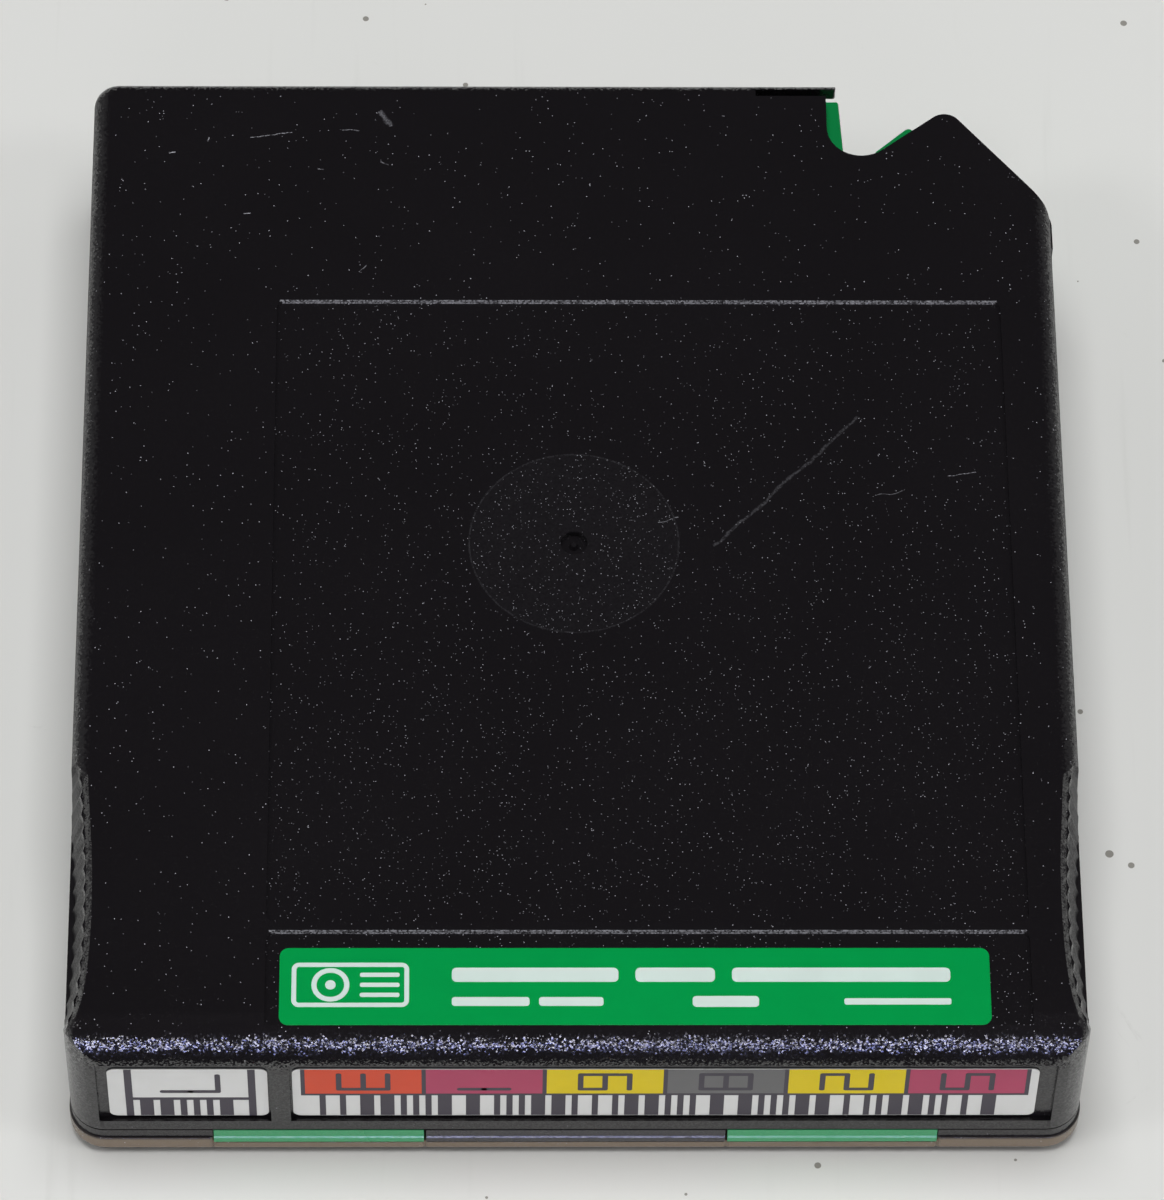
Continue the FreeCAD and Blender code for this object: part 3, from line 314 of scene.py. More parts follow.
overhead = add_lamp("overhead", (0.0, 0.0, 1.2), (0, 0, 0), 0.6, 0.6, 11.3)
overhead.visible_glossy = False
for name, aside in (("left_glint", -0.72), ("right_glint", 0.72)):
    add_lamp(name, (aside, -0.30, 0.90), (0, 0, 0), 0.22, 0.22, 1.5)
LOW_WHITE = (1.0, 0.98, 1.0)
LOW_BLUE = (0.22, 0.28, 1.0)
EDGE_MIDDLE = (0, 0, 0.02)
add_lamp("white_strip", (0.03, -1.3, 0.11), EDGE_MIDDLE, 1.1, 0.04, 8.6, LOW_WHITE)
blue_strip = add_lamp("blue_strip", (0.03, -1.3, 0.05), EDGE_MIDDLE, 1.1, 0.05, 6.0, LOW_BLUE)
blue_strip.visible_diffuse = False
add_lamp("under_floor", (-0.8, -0.5, -0.7), (0, 0, 0), 0.6, 0.6, 4.0)
print("lamps", [lamp.name for lamp in bpy.data.lights])

# %% [markdown]
# ## Dark card
# The lower part of the rounded edge would mirror the pale table, and look grey. A black card that
# lies in front of a shiny object is the usual cure. Here only mirrored rays can see the card.

# %% Dark card
CARD_WIDE = 1000.0
CARD_GAP = 13.8     # between the case and the card
CARD_LIFT = 0.3
card_middle = cad_low[1] - (CARD_GAP + CARD_WIDE / 2) * MM
bpy.ops.object.select_all(action="DESELECT")
bpy.ops.mesh.primitive_plane_add(size=CARD_WIDE * MM, location=(0, card_middle, CARD_LIFT * MM))
card = bpy.context.object
card.name = "dark_card"
card_mat = new_finish("dark_card", Roughness=1.0, Base_Color=(0.002, 0.002, 0.003, 1.0))[0]
card.data.materials.append(card_mat)
card.visible_camera = False
card.visible_diffuse = False
card.visible_transmission = False
card.visible_shadow = False
print("dark card at", [round(v, 3) for v in card.location])

# %% [markdown]
# ## Moulded plastics
# A spark-eroded mould leaves a grain of tiny pits, a quarter of a millimetre wide. The grain is a
# noise that only bends the light, as bump. A slow second noise makes the gloss and the colour a
# little uneven, as handling does.

# %% Grained plastic
def grained(name, colour, roughness, grain=0.25, depth=0.02, uneven=0.06):
    """Moulded plastic: grain in millimetres across, and depth of its pits."""
    mat, shader = new_finish(name, IOR=1.46)
    place = add_node(mat, "ShaderNodeTexCoord").outputs["Object"]
    pits = add_node(mat, "ShaderNodeTexNoise", {"Vector": place, "Scale": 1 / (grain * MM), "Detail": 2.0,
                                                "Roughness": 0.6})
    bump = add_node(mat, "ShaderNodeBump", {"Height": pits.outputs["Fac"], "Strength": 1.0,
                                            "Distance": depth * MM})
    link(mat, bump.outputs["Normal"], shader.inputs["Normal"])
    slow = add_node(mat, "ShaderNodeTexNoise", {"Vector": place, "Scale": 45.0, "Detail": 4.0})
    link(mat, ramp(mat, slow.outputs["Fac"], 0.3, 0.7, roughness - uneven, roughness + uneven),
         shader.inputs["Roughness"])
    link(mat, shades(mat, slow.outputs["Fac"], colour, 0.1), shader.inputs["Base Color"])
    return mat


BLACK = (0.0070, 0.0061, 0.0073)
case_black = grained("case_black", BLACK, 0.18, grain=0.2, depth=0.006, uneven=0.03)
leader_green = grained("leader_green", srgb(8, 122, 62), 0.42, grain=0.5, depth=0.006)
bar_green = grained("bar_green", srgb(52, 140, 92), 0.3, grain=0.3, depth=0.012)
selector_grey = grained("selector_grey", srgb(46, 45, 48), 0.3, grain=0.3, depth=0.014)
reel_grey = grained("reel_plastic", srgb(196, 196, 190), 0.4, grain=0.6, depth=0.01)
nylon = grained("brake_nylon", srgb(214, 210, 198), 0.35, grain=0.5, depth=0.006)
print("plastics", case_black.name, leader_green.name, bar_green.name)

# %% [markdown]
# ## Glitter of the grain
# Each pit of the grain is a little mirror that leans its own way. Voronoi cells give every pit a
# random colour, and that colour tilts the surface normal, so the front edge glitters where it faces
# the low lamps. Below the rounded edge the pits are shallower, so the upright faces stay calm.

# %% Glitter
EDGE_FOOT = 17.8    # height where the front edge starts to round
EDGE_SPAN = 2.7     # height over which the pits reach their full depth
CALM = 0.35         # share of the tilt that is left below


def glitter(mat, pitch, tilt):
    """Tilt the normal of each pit at random; pitch is in millimetres."""
    tree = mat.node_tree.nodes
    place = tree["Texture Coordinate"].outputs["Object"]
    pitted = add_node(mat, "ShaderNodeTexVoronoi", {"Vector": place, "Scale": 1 / (pitch * MM)})
    lean = add_node(mat, "ShaderNodeVectorMath", {0: pitted.outputs["Color"], 1: (tilt,) * 3,
                                                  2: (-tilt / 2,) * 3}, operation="MULTIPLY_ADD")
    height = add_node(mat, "ShaderNodeSeparateXYZ", {"Vector": place}).outputs["Z"]
    amount = ramp(mat, height, EDGE_FOOT * MM, (EDGE_FOOT + EDGE_SPAN) * MM, CALM, 1.0)
    calmed = add_node(mat, "ShaderNodeVectorMath", {0: lean.outputs["Vector"], "Scale": amount},
                      operation="SCALE")
    facing = add_node(mat, "ShaderNodeNewGeometry")
    tilted = add_node(mat, "ShaderNodeVectorMath", {0: facing.outputs["Normal"],
                                                    1: calmed.outputs["Vector"]}, operation="ADD")
    leaning = add_node(mat, "ShaderNodeVectorMath", {0: tilted.outputs["Vector"]},
                       operation="NORMALIZE")
    link(mat, leaning.outputs["Vector"], tree["Bump"].inputs["Normal"])


PIT_PITCH = 0.19
PIT_TILT = 0.32
for mat in (case_black, bar_green, selector_grey):
    glitter(mat, PIT_PITCH, PIT_TILT)
print("glitter on the front plastics")

# %% [markdown]
# ## Crumbs and painted glints on the case
# Here and there a pit of the grain is painted pale, mostly on the floor of the top hollow and on
# the disc that the mould's sprue left round the dimple. These pale specks are partly crumbs of dust
# and partly painted glints, standing in for pits of the grain that catch the light. The glitter's own
# cells are used again: a cell whose colour has little blue in it is painted pale, and its green says
# how pale. Masks of 0 and 1, made from heights and distances, say where the specks are common.

# %% Crumbs and painted glints
def product(mat, *factors):
    """Several numbers or sockets multiplied."""
    result = factors[0]
    for factor in factors[1:]:
        result = worked(mat, "MULTIPLY", result, factor)
    return result


def inside(mat, value, low, high):
    """1 where a value lies between two bounds in millimetres, else 0."""
    return worked(mat, "COMPARE", value, (low + high) / 2 * MM, (high - low) / 2 * MM)


DISC_RADIUS = 11.5
DISC_RIM = 0.1          # half the width of the disc's rim
# The shares below count pits painted pale: partly crumbs of dust, partly painted glints.
PLAIN_SHARE = 0.009     # share of the pits with a crumb on plain faces
HOLLOW_SHARE = 0.019    # added in the hollow
DISC_SHARE = 0.045      # added on the disc
FRONT_FACTOR = 1.6      # crumbs of the hollow lie more to the front
BACK_FACTOR = 0.6

place = case_black.node_tree.nodes["Texture Coordinate"].outputs["Object"]
spot = add_node(case_black, "ShaderNodeSeparateXYZ", {"Vector": place})
flat = add_node(case_black, "ShaderNodeCombineXYZ", {"X": spot.outputs["X"], "Y": spot.outputs["Y"]})
radius = add_node(case_black, "ShaderNodeVectorMath", {0: flat.outputs["Vector"]},
                  operation="LENGTH").outputs["Value"]
hollow = inside(case_black, spot.outputs["Z"], 23.7, 24.3)
disc = product(case_black, hollow, inside(case_black, radius, 0.0, DISC_RADIUS))
rim_ring = inside(case_black, radius, DISC_RADIUS - DISC_RIM, DISC_RADIUS + DISC_RIM)
# The disc's rim is a thin ring of painted highlight, where its edge would catch the light.
painted_rim_highlight = product(case_black, hollow, rim_ring)
forward = ramp(case_black, spot.outputs["Y"], -55.0 * MM, 50.0 * MM, FRONT_FACTOR, BACK_FACTOR)
share = worked(case_black, "MULTIPLY_ADD", product(case_black, hollow, forward), HOLLOW_SHARE,
               PLAIN_SHARE)
share = worked(case_black, "MULTIPLY_ADD", disc, DISC_SHARE, share)
cells = case_black.node_tree.nodes["Voronoi Texture"]
pick = add_node(case_black, "ShaderNodeSeparateColor", {"Color": cells.outputs["Color"]})
picked = worked(case_black, "LESS_THAN", pick.outputs["Blue"], share)
dome = ramp(case_black, cells.outputs["Distance"], 0.14, 0.42, 1.0, 0.0)
paleness = ramp(case_black, pick.outputs["Green"], 0.3, 1.0, 0.2, 1.0)
# Pale specks: crumbs of dust, and painted glints of the grain.
crumb_and_painted_glint = product(case_black, picked, dome, paleness)
print("crumbs on", PLAIN_SHARE, "of the pits, and on more of them in the hollow")

# %% [markdown]
# ## Scratches and painted edge highlights
# Scratches and fibres are narrow bands of paler colour. A Mapping node turns each one into a unit
# box of its own, in which it is easy to say where it starts and how it fades to its sides. A slow
# wobble of the place keeps it from being straight, and the grain breaks it up. The two long edges of
# the hollow are bands too, straight ones, of painted highlight: cells of the grain along them are
# painted pale one by one, as painted glints.

# %% Scratches and painted edge highlights
MARK_DEPTH = 1.5        # how far above and below the top a mark is found
WOBBLE = 1.1
# middle, length, width in millimetres, angle in degrees, strength
MARKS = [((23.5, 8.0), 23.5, 0.5, 46, 0.08), ((-34.0, 54.4), 4.8, 0.14, 8, 0.5),
         ((-25.0, 55.2), 2.2, 0.14, -6, 0.45), ((-21.0, 56.7), 2.6, 0.9, -52, 0.22),
         ((-45.0, 52.1), 0.8, 0.22, 12, 0.9), ((-41.2, 53.9), 0.6, 0.2, 75, 0.6),
         ((-36.5, 43.7), 0.8, 0.2, 10, 0.7), ((-28.4, 49.7), 0.8, 0.16, 6, 0.4),
         ((-21.2, 50.5), 1.2, 0.16, -14, 0.4), ((-23.4, 36.1), 1.0, 0.16, 48, 0.35),
         ((43.0, 9.0), 3.0, 0.16, 12, 0.35), ((10.5, 3.0), 2.6, 0.16, 20, 0.3),
         ((35.0, 6.5), 3.6, 0.14, 14, 0.2)]
# middles of the two long edges of the top hollow, painted as highlight lines, their length and width
EDGES = [(7.5, 31.7), (7.5, -48.8)]
EDGE_LONG = 80.4
EDGE_WIDE = 0.34


def mark_on(mat, place, at, long, wide, angle=0.0):
    """1 along the middle of a narrow mark on the top of the case, falling to 0 at its sides."""
    box = add_node(mat, "ShaderNodeMapping", {"Vector": place}, vector_type="TEXTURE")
    box.inputs["Location"].default_value = (at[0] * MM, at[1] * MM, cad_high[2])
    box.inputs["Rotation"].default_value = (0, 0, math.radians(angle))
    box.inputs["Scale"].default_value = (long / 2 * MM, wide / 2 * MM, MARK_DEPTH * MM)
    own = add_node(mat, "ShaderNodeSeparateXYZ", {"Vector": box.outputs["Vector"]})
    along = worked(mat, "COMPARE", own.outputs["X"], 0.0, 1.0)
    depth = worked(mat, "COMPARE", own.outputs["Z"], 0.0, 1.0)
    across = ramp(mat, worked(mat, "ABSOLUTE", own.outputs["Y"]), 0.2, 1.0, 1.0, 0.0)
    return product(mat, along, depth, across)


wobble = add_node(case_black, "ShaderNodeTexNoise", {"Vector": place, "Scale": 420.0, "Detail": 2.0})
sway = add_node(case_black, "ShaderNodeVectorMath", {0: wobble.outputs["Color"], 1: (-0.5, -0.5, -0.5)},
                operation="ADD")
swayed = add_node(case_black, "ShaderNodeVectorMath",
                  {0: sway.outputs["Vector"], 1: (WOBBLE * MM, WOBBLE * MM, 0.0), 2: place},
                  operation="MULTIPLY_ADD").outputs["Vector"]
# A faint paler disc and the painted highlight of its rim come first; the scratches are added to them.
wear_and_painted_rim = worked(case_black, "MULTIPLY_ADD", disc, 0.006, product(case_black, painted_rim_highlight, 0.025))
for at, long, wide, angle, strength in MARKS:
    band = mark_on(case_black, swayed, at, long, wide, angle)
    wear_and_painted_rim = worked(case_black, "MULTIPLY_ADD", band, strength, wear_and_painted_rim)
pits = case_black.node_tree.nodes["Noise Texture"].outputs["Fac"]
broken = ramp(case_black, pits, 0.38, 0.6, 0.15, 1.0)
pale = worked(case_black, "MAXIMUM", product(case_black, wear_and_painted_rim, broken), crumb_and_painted_glint)
# Painted glints: how pale each cell along the edges is painted.
glint = ramp(case_black, pick.outputs["Green"], 0.1, 0.9, 0.03, 0.5)
for at in EDGES:
    painted_edge_highlight = mark_on(case_black, place, at, EDGE_LONG, EDGE_WIDE)
    pale = worked(case_black, "MAXIMUM", pale, product(case_black, painted_edge_highlight, glint))
print("case wear", len(MARKS), "marks and", len(EDGES), "bright edges")

# %% [markdown]
# ## Painted reflection and dull sides
# The lower rim gets a warm brownish tint, most of all in front: a painted reflection of the table
# below it. Fingers have made the sides less glossy. Both are masks again, faded in by place. The
# shader's first colour and roughness are taken from their links, changed, and joined again.

# %% Painted reflection and gloss
x, y, z = (spot.outputs[axis] for axis in "XYZ")
outward = worked(case_black, "ABSOLUTE", x)
# Painted reflection: a warm tint on the lower rim, strongest in front, for the table mirrored in its
# rounded foot.
painted_table_reflection = product(case_black, ramp(case_black, z, 0.2 * MM, 0.9 * MM, 0.0, 1.0),
               ramp(case_black, z, 2.7 * MM, 3.4 * MM, 0.68, 0.0),
               ramp(case_black, y, -59.0 * MM, -45.0 * MM, 1.0, 0.2))
dull = product(case_black, ramp(case_black, outward, 49.0 * MM, 50.5 * MM, 0.0, 1.0),
               ramp(case_black, y, -58.5 * MM, -57.0 * MM, 0.0, 1.0),
               ramp(case_black, z, 22.8 * MM, 23.8 * MM, 1.0, 0.0))
DULLER = 0.3
shader = case_black.node_tree.nodes["Principled BSDF"]
gloss = shader.inputs["Roughness"].links[0].from_socket
link(case_black, worked(case_black, "MULTIPLY_ADD", dull, DULLER, gloss), shader.inputs["Roughness"])
plain = shader.inputs["Base Color"].links[0].from_socket
# The warm brown of the painted reflection of the table.
with_painted_reflection = mixed(case_black, painted_table_reflection, plain, srgb(128, 112, 94))
# Pale wear marks, pale specks, painted glints and the painted highlights of the hollow's edges and the
# disc's rim all take this pale colour.
link(case_black, mixed(case_black, pale, with_painted_reflection, srgb(186, 186, 194)), shader.inputs["Base Color"])
print("case finish", len(case_black.node_tree.nodes), "nodes")

# %% [markdown]
# ## Shells with soft edges
# A mould never leaves a knife edge, and it is the small rounding that catches the light. A solid's
# mesh is loose triangles, so a copy is welded and its flat triangles are joined into whole faces
# before a Bevel modifier can round the edges. The solid itself stays as it is, hidden behind.

# %% Soft copies of the solids
SHARP = math.radians(32)        # edges that turn more than this get a rounding
SMOOTH = math.radians(40)       # faces that meet at less than this shade as one
WELD = 0.002


def soft_copy(node, name, mat, radius=0.0):
    """A welded copy of a solid with its sharp edges rounded, standing for that solid."""
    bpy.ops.object.select_all(action="DESELECT")
    piece = bpy.data.objects.new(name, nodes[node].data.copy())
    bpy.context.scene.collection.objects.link(piece)
    piece.data.materials.clear()
    piece.data.materials.append(mat)
    bpy.context.view_layer.objects.active = piece
    piece.select_set(True)
    bpy.ops.object.mode_set(mode="EDIT")
    bpy.ops.mesh.select_all(action="SELECT")
    bpy.ops.mesh.customdata_custom_splitnormals_clear()
    bpy.ops.mesh.remove_doubles(threshold=WELD * MM)
    bpy.ops.mesh.dissolve_limited(angle_limit=math.radians(0.5))
    bpy.ops.object.mode_set(mode="OBJECT")
    if radius:
        bevel = piece.modifiers.new("edges", "BEVEL")
        bevel.width = radius * MM
        bevel.segments = 2
        bevel.limit_method = "ANGLE"
        bevel.angle_limit = SHARP
        bevel.use_clamp_overlap = True
        bevel.harden_normals = False
        bpy.ops.object.modifier_apply(modifier="edges")
    bpy.ops.object.shade_smooth_by_angle(angle=SMOOTH)
    even = piece.modifiers.new("even", "WEIGHTED_NORMAL")
    even.keep_sharp = True
    bpy.ops.object.modifier_apply(modifier="even")
    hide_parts(node)
    print(name, len(piece.data.polygons), "faces")
    return piece


def soften(node, name, mat, radius):
    """A soft copy that moves with the solid's own body."""
    piece = soft_copy(node, name, mat, radius)
    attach(piece, nodes[node]["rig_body"])


soften("top_shell", "cover", case_black, 0.18)
soften("base_shell", "tray", case_black, 0.15)
soften("leader_block", "leader_block_green", leader_green, 0.2)

# %% [markdown]
# ## Bars, reel and screws
# The coloured bars, the reel, the brake and the screws are right as solids, so they get the same
# small roundings as the shells and keep their own plastic or steel. Wound tape shows its edges as
# fine rings: a wave texture in rings round the axis draws them.

# %% Bars, reel and screws
def ringed_film(name, colour):
    """The edges of wound tape: rings round the upright axis, with a satin sheen."""
    mat = grained(name, colour, 0.25, grain=0.2, depth=0.004)
    place = mat.node_tree.nodes["Texture Coordinate"].outputs["Object"]
    rings = add_node(mat, "ShaderNodeTexWave",
                     {"Vector": place, "Scale": 900.0, "Distortion": 0.6, "Detail Scale": 40.0},
                     wave_type="RINGS", rings_direction="Z")
    bump = add_node(mat, "ShaderNodeBump", {"Height": rings.outputs["Fac"], "Distance": 0.02 * MM})
    link(mat, bump.outputs["Normal"], mat.node_tree.nodes["Principled BSDF"].inputs["Normal"])
    return mat


steel = grained("drawn_steel", (0.55, 0.55, 0.56), 0.3, grain=0.4, depth=0.004)
steel.node_tree.nodes["Principled BSDF"].inputs["Metallic"].default_value = 1.0
film = ringed_film("tape_edges", (0.03, 0.022, 0.018))
soften("ident_bar_left", "left_bar", bar_green, 0.07)
soften("ident_bar_right", "right_bar", bar_green, 0.07)
soften("file_protect_selector", "selector_bar", selector_grey, 0.07)
soften("reel_hub", "hub_and_lower_flange", reel_grey, 0.12)
soften("reel_upper_flange", "upper_flange", reel_grey, 0.2)
soften("brake_button", "brake", nylon, 0.15)
soften("tape_clamp_pin", "clamp_pin", nylon, 0.2)
soften("case_screws", "screws", steel, 0.15)
turns = nodes["tape_pack"].data
turns.materials.clear()
turns.materials.append(film)
print("film on the turns of tape:", [mat.name for mat in turns.materials])

# %% [markdown]
# ## The free tape
# When the leader block is drawn out, one end of the free tape stays in the case and the other goes
# with the block. A flat strip has points at its ends only, so here its long edges are cut across many
# times.

# %% Free tape
TAPE_CUTS = 120
LONG_EDGE = 20.0        # only the strip's long edges are longer than this

free_tape = soft_copy("tape_run", "free_tape", film, 0.02)
bpy.ops.object.mode_set(mode="EDIT")
bpy.ops.mesh.select_mode(type="EDGE")
bpy.ops.mesh.select_all(action="DESELECT")
bpy.ops.object.mode_set(mode="OBJECT")
for edge in free_tape.data.edges:
    first, last = [free_tape.data.vertices[i].co for i in edge.vertices]
    edge.select = (last - first).length > LONG_EDGE * MM
bpy.ops.object.mode_set(mode="EDIT")
bpy.ops.mesh.subdivide(number_cuts=TAPE_CUTS)
bpy.ops.mesh.select_mode(type="VERT")
bpy.ops.object.mode_set(mode="OBJECT")
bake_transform(free_tape)
print("free tape", len(free_tape.data.vertices), "points")

# %% [markdown]
# ## The brake's spring
# The spring over the brake is pressed together as the brake is lifted, towards the end that stands
# against the case. Here it is a welded copy of the solid that rides on the case, with a mesh of its own.

# %% Brake spring
coil = soft_copy("brake_spring", "brake_coil", steel)
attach(coil, "case")
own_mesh(coil)

# %% [markdown]
# ## Label paper and ink
# The labels are printed film: smooth, faintly wavy from being pressed on by hand. Ink is a matt
# skin a few hundredths of a millimetre thick, and it is never perfectly even, so each ink colour
# gets a slow mottling.

# %% Paper and inks
def printed(name, colour, roughness=0.4):
    """Printed film or ink: slow mottling in the colour and a faint waviness."""
    mat, shader = new_finish(name, Specular_IOR_Level=0.2, Roughness=roughness)
    place = add_node(mat, "ShaderNodeTexCoord").outputs["Object"]
    slow = add_node(mat, "ShaderNodeTexNoise", {"Vector": place, "Scale": 260.0, "Detail": 5.0})
    link(mat, shades(mat, slow.outputs["Fac"], colour, 0.07), shader.inputs["Base Color"])
    swell = add_node(mat, "ShaderNodeTexNoise", {"Vector": place, "Scale": 180.0, "Detail": 2.0})
    bump = add_node(mat, "ShaderNodeBump", {"Height": swell.outputs["Fac"], "Distance": 0.04 * MM})
    link(mat, bump.outputs["Normal"], shader.inputs["Normal"])
    return mat


label_green = printed("label_green", srgb(0, 142, 66), 0.3)
label_white = printed("label_white", srgb(197, 198, 196))
white_ink = printed("white_ink", srgb(198, 214, 208))
dark_ink = printed("dark_ink", srgb(62, 58, 66))
soften("top_label", "green_label", label_green, 0.04)
soften("front_label_small", "small_label", label_white, 0.04)
soften("volume_label", "long_label", label_white, 0.04)

# %% [markdown]
# ## Print as thin plates
# Each printed field is a very thin plate. A plane is sized flat on the ground, its corners are
# bevelled, and it is extruded by the thickness of the ink. A frame is the same plate with its middle
# inset and deleted. What repeats is drawn once at the middle of the drawing and copied to its
# places. Plates are joined by colour, and then the whole print is stood up against its label.

# %% Plates and frames
INK = 0.03


def outline(wide, high, corner, steps):
    """A flat sheet with rounded corners around the middle, left in edit mode, all selected."""
    bpy.ops.object.select_all(action="DESELECT")
    bpy.ops.mesh.primitive_plane_add(size=MM)
    sheet = bpy.context.object
    sheet.scale = (wide, high, 1.0)
    bpy.ops.object.transform_apply(location=False, rotation=False, scale=True)
    bpy.ops.object.mode_set(mode="EDIT")
    bpy.ops.mesh.select_all(action="SELECT")
    if corner:
        bpy.ops.mesh.bevel(offset=corner * MM, segments=steps, affect="VERTICES")
        bpy.ops.mesh.select_all(action="SELECT")
    return sheet


def inked(sheet, at, thick, turned=0.0):
    """Give the sheet the thickness of ink, and turn and set it in the drawing."""
    bpy.ops.mesh.extrude_region_move(TRANSFORM_OT_translate={"value": (0, 0, thick * MM)})
    bpy.ops.mesh.select_all(action="SELECT")
    bpy.ops.mesh.normals_make_consistent(inside=False)
    bpy.ops.object.mode_set(mode="OBJECT")
    sheet.rotation_euler = (0, 0, turned)
    sheet.location = (at[0] * MM, at[1] * MM, 0)
    bpy.ops.object.transform_apply(location=True, rotation=True, scale=True)
    return sheet


def plate(wide, high, at=(0, 0), corner=0.0, thick=INK, turned=0.0):
    """A thin plate with rounded corners around a point of the drawing, in millimetres."""
    return inked(outline(wide, high, corner, 4), at, thick, turned)


def frame_plate(wide, high, at, corner, line):
    """The outline of a rounded plate, as a frame of a given line width."""
    sheet = outline(wide, high, corner, 12)
    bpy.ops.mesh.inset(thickness=line * MM)
    bpy.ops.mesh.delete(type="FACE")
    bpy.ops.mesh.select_all(action="SELECT")
    return inked(sheet, at, INK)


print("ink", INK, "mm thick")

# %% [markdown]
# ## Copies and joined prints
# Each copy has a mesh of its own, so it can be turned and moved there while its object stays at the
# origin. Joining makes one piece of each colour, and that piece rides on the case like its label.

# %% Copies and joined prints
def copied(pattern, at, turned=0.0):
    """A copy with its own mesh, turned and moved over the drawing."""
    twin = pattern.copy()
    twin.data = pattern.data.copy()
    bpy.context.scene.collection.objects.link(twin)
    place = Matrix.Translation((at[0] * MM, at[1] * MM, 0))
    twin.data.transform(place @ Matrix.Rotation(turned, 4, "Z"))
    return twin


def copies(pattern, places, turned=0.0):
    """Copies at several places; the pattern itself goes."""
    twins = [copied(pattern, at, turned) for at in places]
    bpy.data.objects.remove(pattern)
    return twins


def finish_print(name, pieces, mat, at, standing):
    """Join the plates of one colour, set them on their label and let them ride on the case."""
    bpy.ops.object.select_all(action="DESELECT")
    for piece in pieces:
        piece.select_set(True)
    bpy.context.view_layer.objects.active = pieces[0]
    bpy.ops.object.join()
    whole = bpy.context.object
    whole.name = name
    whole.rotation_euler = (math.pi / 2 if standing else 0.0, 0, 0)
    whole.location = at
    bpy.ops.object.transform_apply(location=True, rotation=True, scale=True)
    whole.data.materials.clear()
    whole.data.materials.append(mat)
    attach(whole, "case")
    print(name, len(whole.data.polygons), "faces")


def label_face(node, standing):
    """Lower left corner of a label's face in metres, and its length and height in millimetres."""
    low, high = (Vector(corner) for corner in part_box(node))
    size = (high - low) / MM
    corner = low if standing else Vector((low.x, low.y, high.z))
    return corner, size.x, size.z if standing else size.y


for node, standing in (("volume_label", True), ("front_label_small", True), ("top_label", False)):
    print(node, [round(v, 2) for v in label_face(node, standing)[1:]], "mm")

# %% [markdown]
# ## Digits
# The label carries plain digits lying on their side, drawn as seven strokes like those of a pocket
# calculator. One round-ended stroke is drawn for each direction, and copied to all its places. The
# list says which of the seven strokes each digit has: a is the top one, b to f run on round the
# digit, and g is the middle one.

# %% Digits from seven strokes
SEVEN = {0: "abcdef", 1: "bc", 2: "abged", 3: "abgcd", 4: "fgbc", 5: "afgcd", 6: "afgedc", 7: "abc",
         8: "abcdefg", 9: "abcdfg"}
LYING = "agd"
DIGIT_LINE = 0.6
UPRIGHT_INK = 0.9       # share of the ink's thickness, so that strokes never share a face


def digits(values, middles, wide, high, turned):
    """The strokes of digits of one size, each digit turned about its own middle."""
    half = high / 4
    spots = {"a": (0, 2 * half), "g": (0, 0), "d": (0, -2 * half), "f": (-wide / 2, half),
             "b": (wide / 2, half), "e": (-wide / 2, -half), "c": (wide / 2, -half)}
    lying_at, upright_at = [], []
    for value, middle in zip(values, middles):
        for letter in SEVEN[value]:
            at = Vector(middle) + Matrix.Rotation(turned, 2) @ Vector(spots[letter])
            (lying_at if letter in LYING else upright_at).append(at)
    corner = DIGIT_LINE * 0.45
    lying = plate(wide + DIGIT_LINE, DIGIT_LINE, corner=corner)
    upright = plate(high / 2 + DIGIT_LINE, DIGIT_LINE, corner=corner, thick=INK * UPRIGHT_INK,
                    turned=math.pi / 2)
    return copies(lying, lying_at, turned) + copies(upright, upright_at, turned)


print("digits", len(SEVEN))

# %% [markdown]
# ## Bar code
# Below the cells of both white labels runs a bar code. Its bars are narrow or wide by a simple rule,
# so it names nothing. One bar of each width is drawn, and copied along the row.

# %% Bar code
BARS_FOOT = 0.15


def bar_code(first, last, top, narrow, wide, start):
    """Upright dark bars between two ends; a rule makes each one narrow or wide."""
    middle = (BARS_FOOT + top) / 2
    places = {narrow: [], wide: []}
    x = first
    count = start
    while True:
        bar = wide if (count * count + count) % 5 == 0 else narrow
        gap = wide if (count * count + 2 * count) % 7 == 1 else narrow
        if x + bar > last:
            break
        places[bar].append((x + bar / 2, middle))
        x += bar + gap
        count += 1
    rows = [copies(plate(bar, top - BARS_FOOT), places[bar]) for bar in (narrow, wide)]
    return rows[0] + rows[1]


print("bars stand", BARS_FOOT, "mm above the label's lower edge")

# %% [markdown]
# ## The long label
# The long label reads across in six coloured cells with one digit each, parted by dark lines, with
# the bar code below them. The cells divide what the white ends leave of the label's length.

# %% Long label
CELL_DIGITS = (3, 1, 6, 8, 2, 5)
CELL_INKS = ("orange_ink", "plum_ink", "yellow_ink", "grey_ink", "yellow_ink", "plum_ink")
INKS = {"orange_ink": srgb(192, 69, 42), "plum_ink": srgb(158, 60, 88),
        "yellow_ink": srgb(200, 179, 4), "grey_ink": srgb(96, 96, 96)}
LINE = 0.45             # width of the dark lines
WHITE_END = 0.9
CELL_LOW = 4.85         # height at which the cells start
LINE_SHORT = 0.1        # the lines end this far below the label's upper edge, in all
CELL_SHORT = 0.15

long_at, LONG, TALL = label_face("volume_label", True)
pitch = (LONG - 2 * WHITE_END - LINE) / len(CELL_DIGITS)
cell_high = TALL - CELL_LOW
cell_middle = (TALL + CELL_LOW) / 2
line_places = [(WHITE_END + LINE / 2 + i * pitch, cell_middle) for i in range(len(CELL_DIGITS) + 1)]
middles = [(x + pitch / 2, y) for x, y in line_places[:-1]]
dark = copies(plate(LINE, cell_high - LINE_SHORT), line_places)
for ink, colour in INKS.items():
    field = plate(pitch - LINE, cell_high - CELL_SHORT, thick=INK / 2)
    places = [middle for middle, cell_ink in zip(middles, CELL_INKS) if cell_ink == ink]
    finish_print("print_" + ink, copies(field, places), printed(ink, colour), long_at, True)

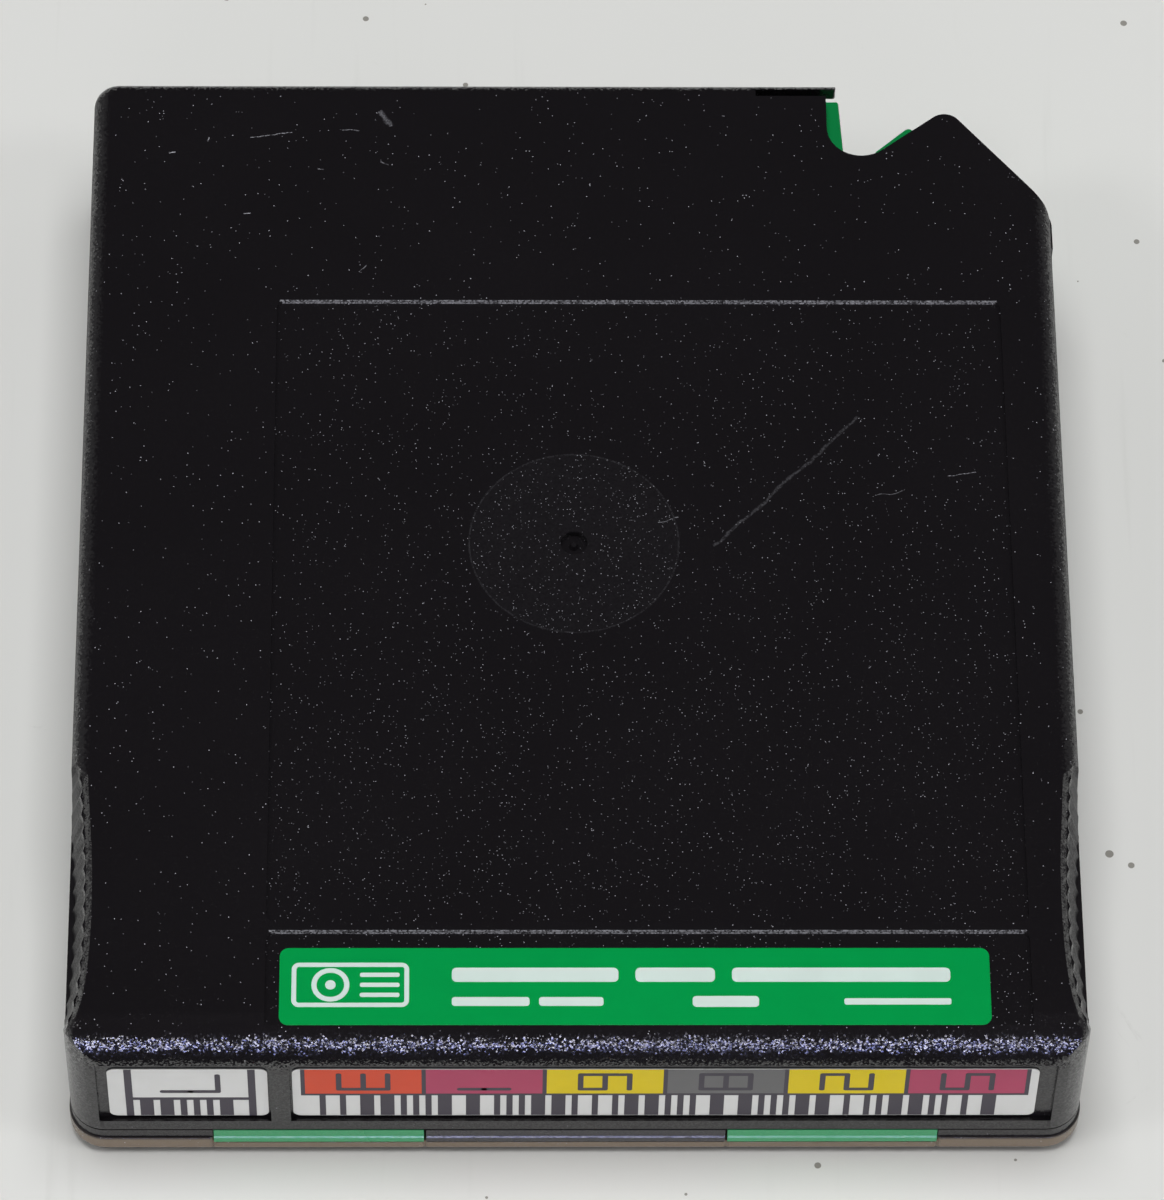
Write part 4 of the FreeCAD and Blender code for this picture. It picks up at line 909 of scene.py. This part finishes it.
dark.append(plate(LONG - 2 * WHITE_END, 0.4, (LONG / 2, CELL_LOW), thick=INK * 0.8))
dark += digits(CELL_DIGITS, middles, 3.3, 5.2, -math.pi / 2)
dark += bar_code(WHITE_END + 1.95, LONG - WHITE_END - 1.9, CELL_LOW, 0.66, 1.5, 2)
finish_print("print_long_dark", dark, dark_ink, long_at, True)

# %% [markdown]
# ## The small label
# The small label to the left has one digit between two heavy lines, and its own short bar code.

# %% Small label
SMALL_LINE = 0.8
SMALL_LOW = 3.9         # height of the line under the digit

small_at, SMALL, SMALL_TALL = label_face("front_label_small", True)
left = 1.8 + SMALL_LINE / 2
right = SMALL - 1.3 - SMALL_LINE / 2
middle = (left + right) / 2
heavy = plate(SMALL_LINE, SMALL_TALL - 0.15)
dark = copies(heavy, [(left, SMALL_TALL / 2), (right, SMALL_TALL / 2)])
dark.append(plate(right - left, 0.55, (middle, SMALL_LOW), thick=INK * 0.8))
dark += digits((7,), [(middle, (SMALL_TALL + SMALL_LOW) / 2 + 0.1)], 3.6, 5.9, -math.pi / 2)
dark += bar_code(left + 1.1, right - 0.9, SMALL_LOW, 0.7, 1.45, 4)
finish_print("print_small_dark", dark, dark_ink, small_at, True)

# %% [markdown]
# ## The green label
# The words of a real label are left off. In their place stand a small sign of a cartridge with its
# reel, and plain bars as long as words.

# %% Green label
SIGN_MIDDLE = 4.75
REEL_AT = (5.4, SIGN_MIDDLE)
# left and right end, middle height and width of the bars, in millimetres from the label's corner
WORDS = [(18.2, 35.8, 5.95, 1.7), (37.6, 46.0, 5.95, 1.7), (47.8, 70.9, 5.95, 1.7),
         (18.2, 26.4, 2.75, 1.05), (27.4, 34.2, 2.75, 1.05), (43.6, 50.6, 2.75, 1.3),
         (59.6, 70.9, 2.75, 0.75)]

green_at = label_face("top_label", False)[0]
signs = [frame_plate(12.4, 5.3, (7.5, SIGN_MIDDLE), 0.8, 0.5), frame_plate(4.0, 4.0, REEL_AT, 1.95, 0.55)]
signs.append(plate(1.1, 1.1, REEL_AT, corner=0.5))
signs += copies(plate(4.2, 0.5, corner=0.2), [(10.6, SIGN_MIDDLE + rise) for rise in (-1.2, 0.0, 1.2)])
for left, right, y, wide in WORDS:
    signs.append(plate(right - left, wide, ((left + right) / 2, y), corner=wide * 0.3))
finish_print("print_green_label", signs, white_ink, green_at, False)
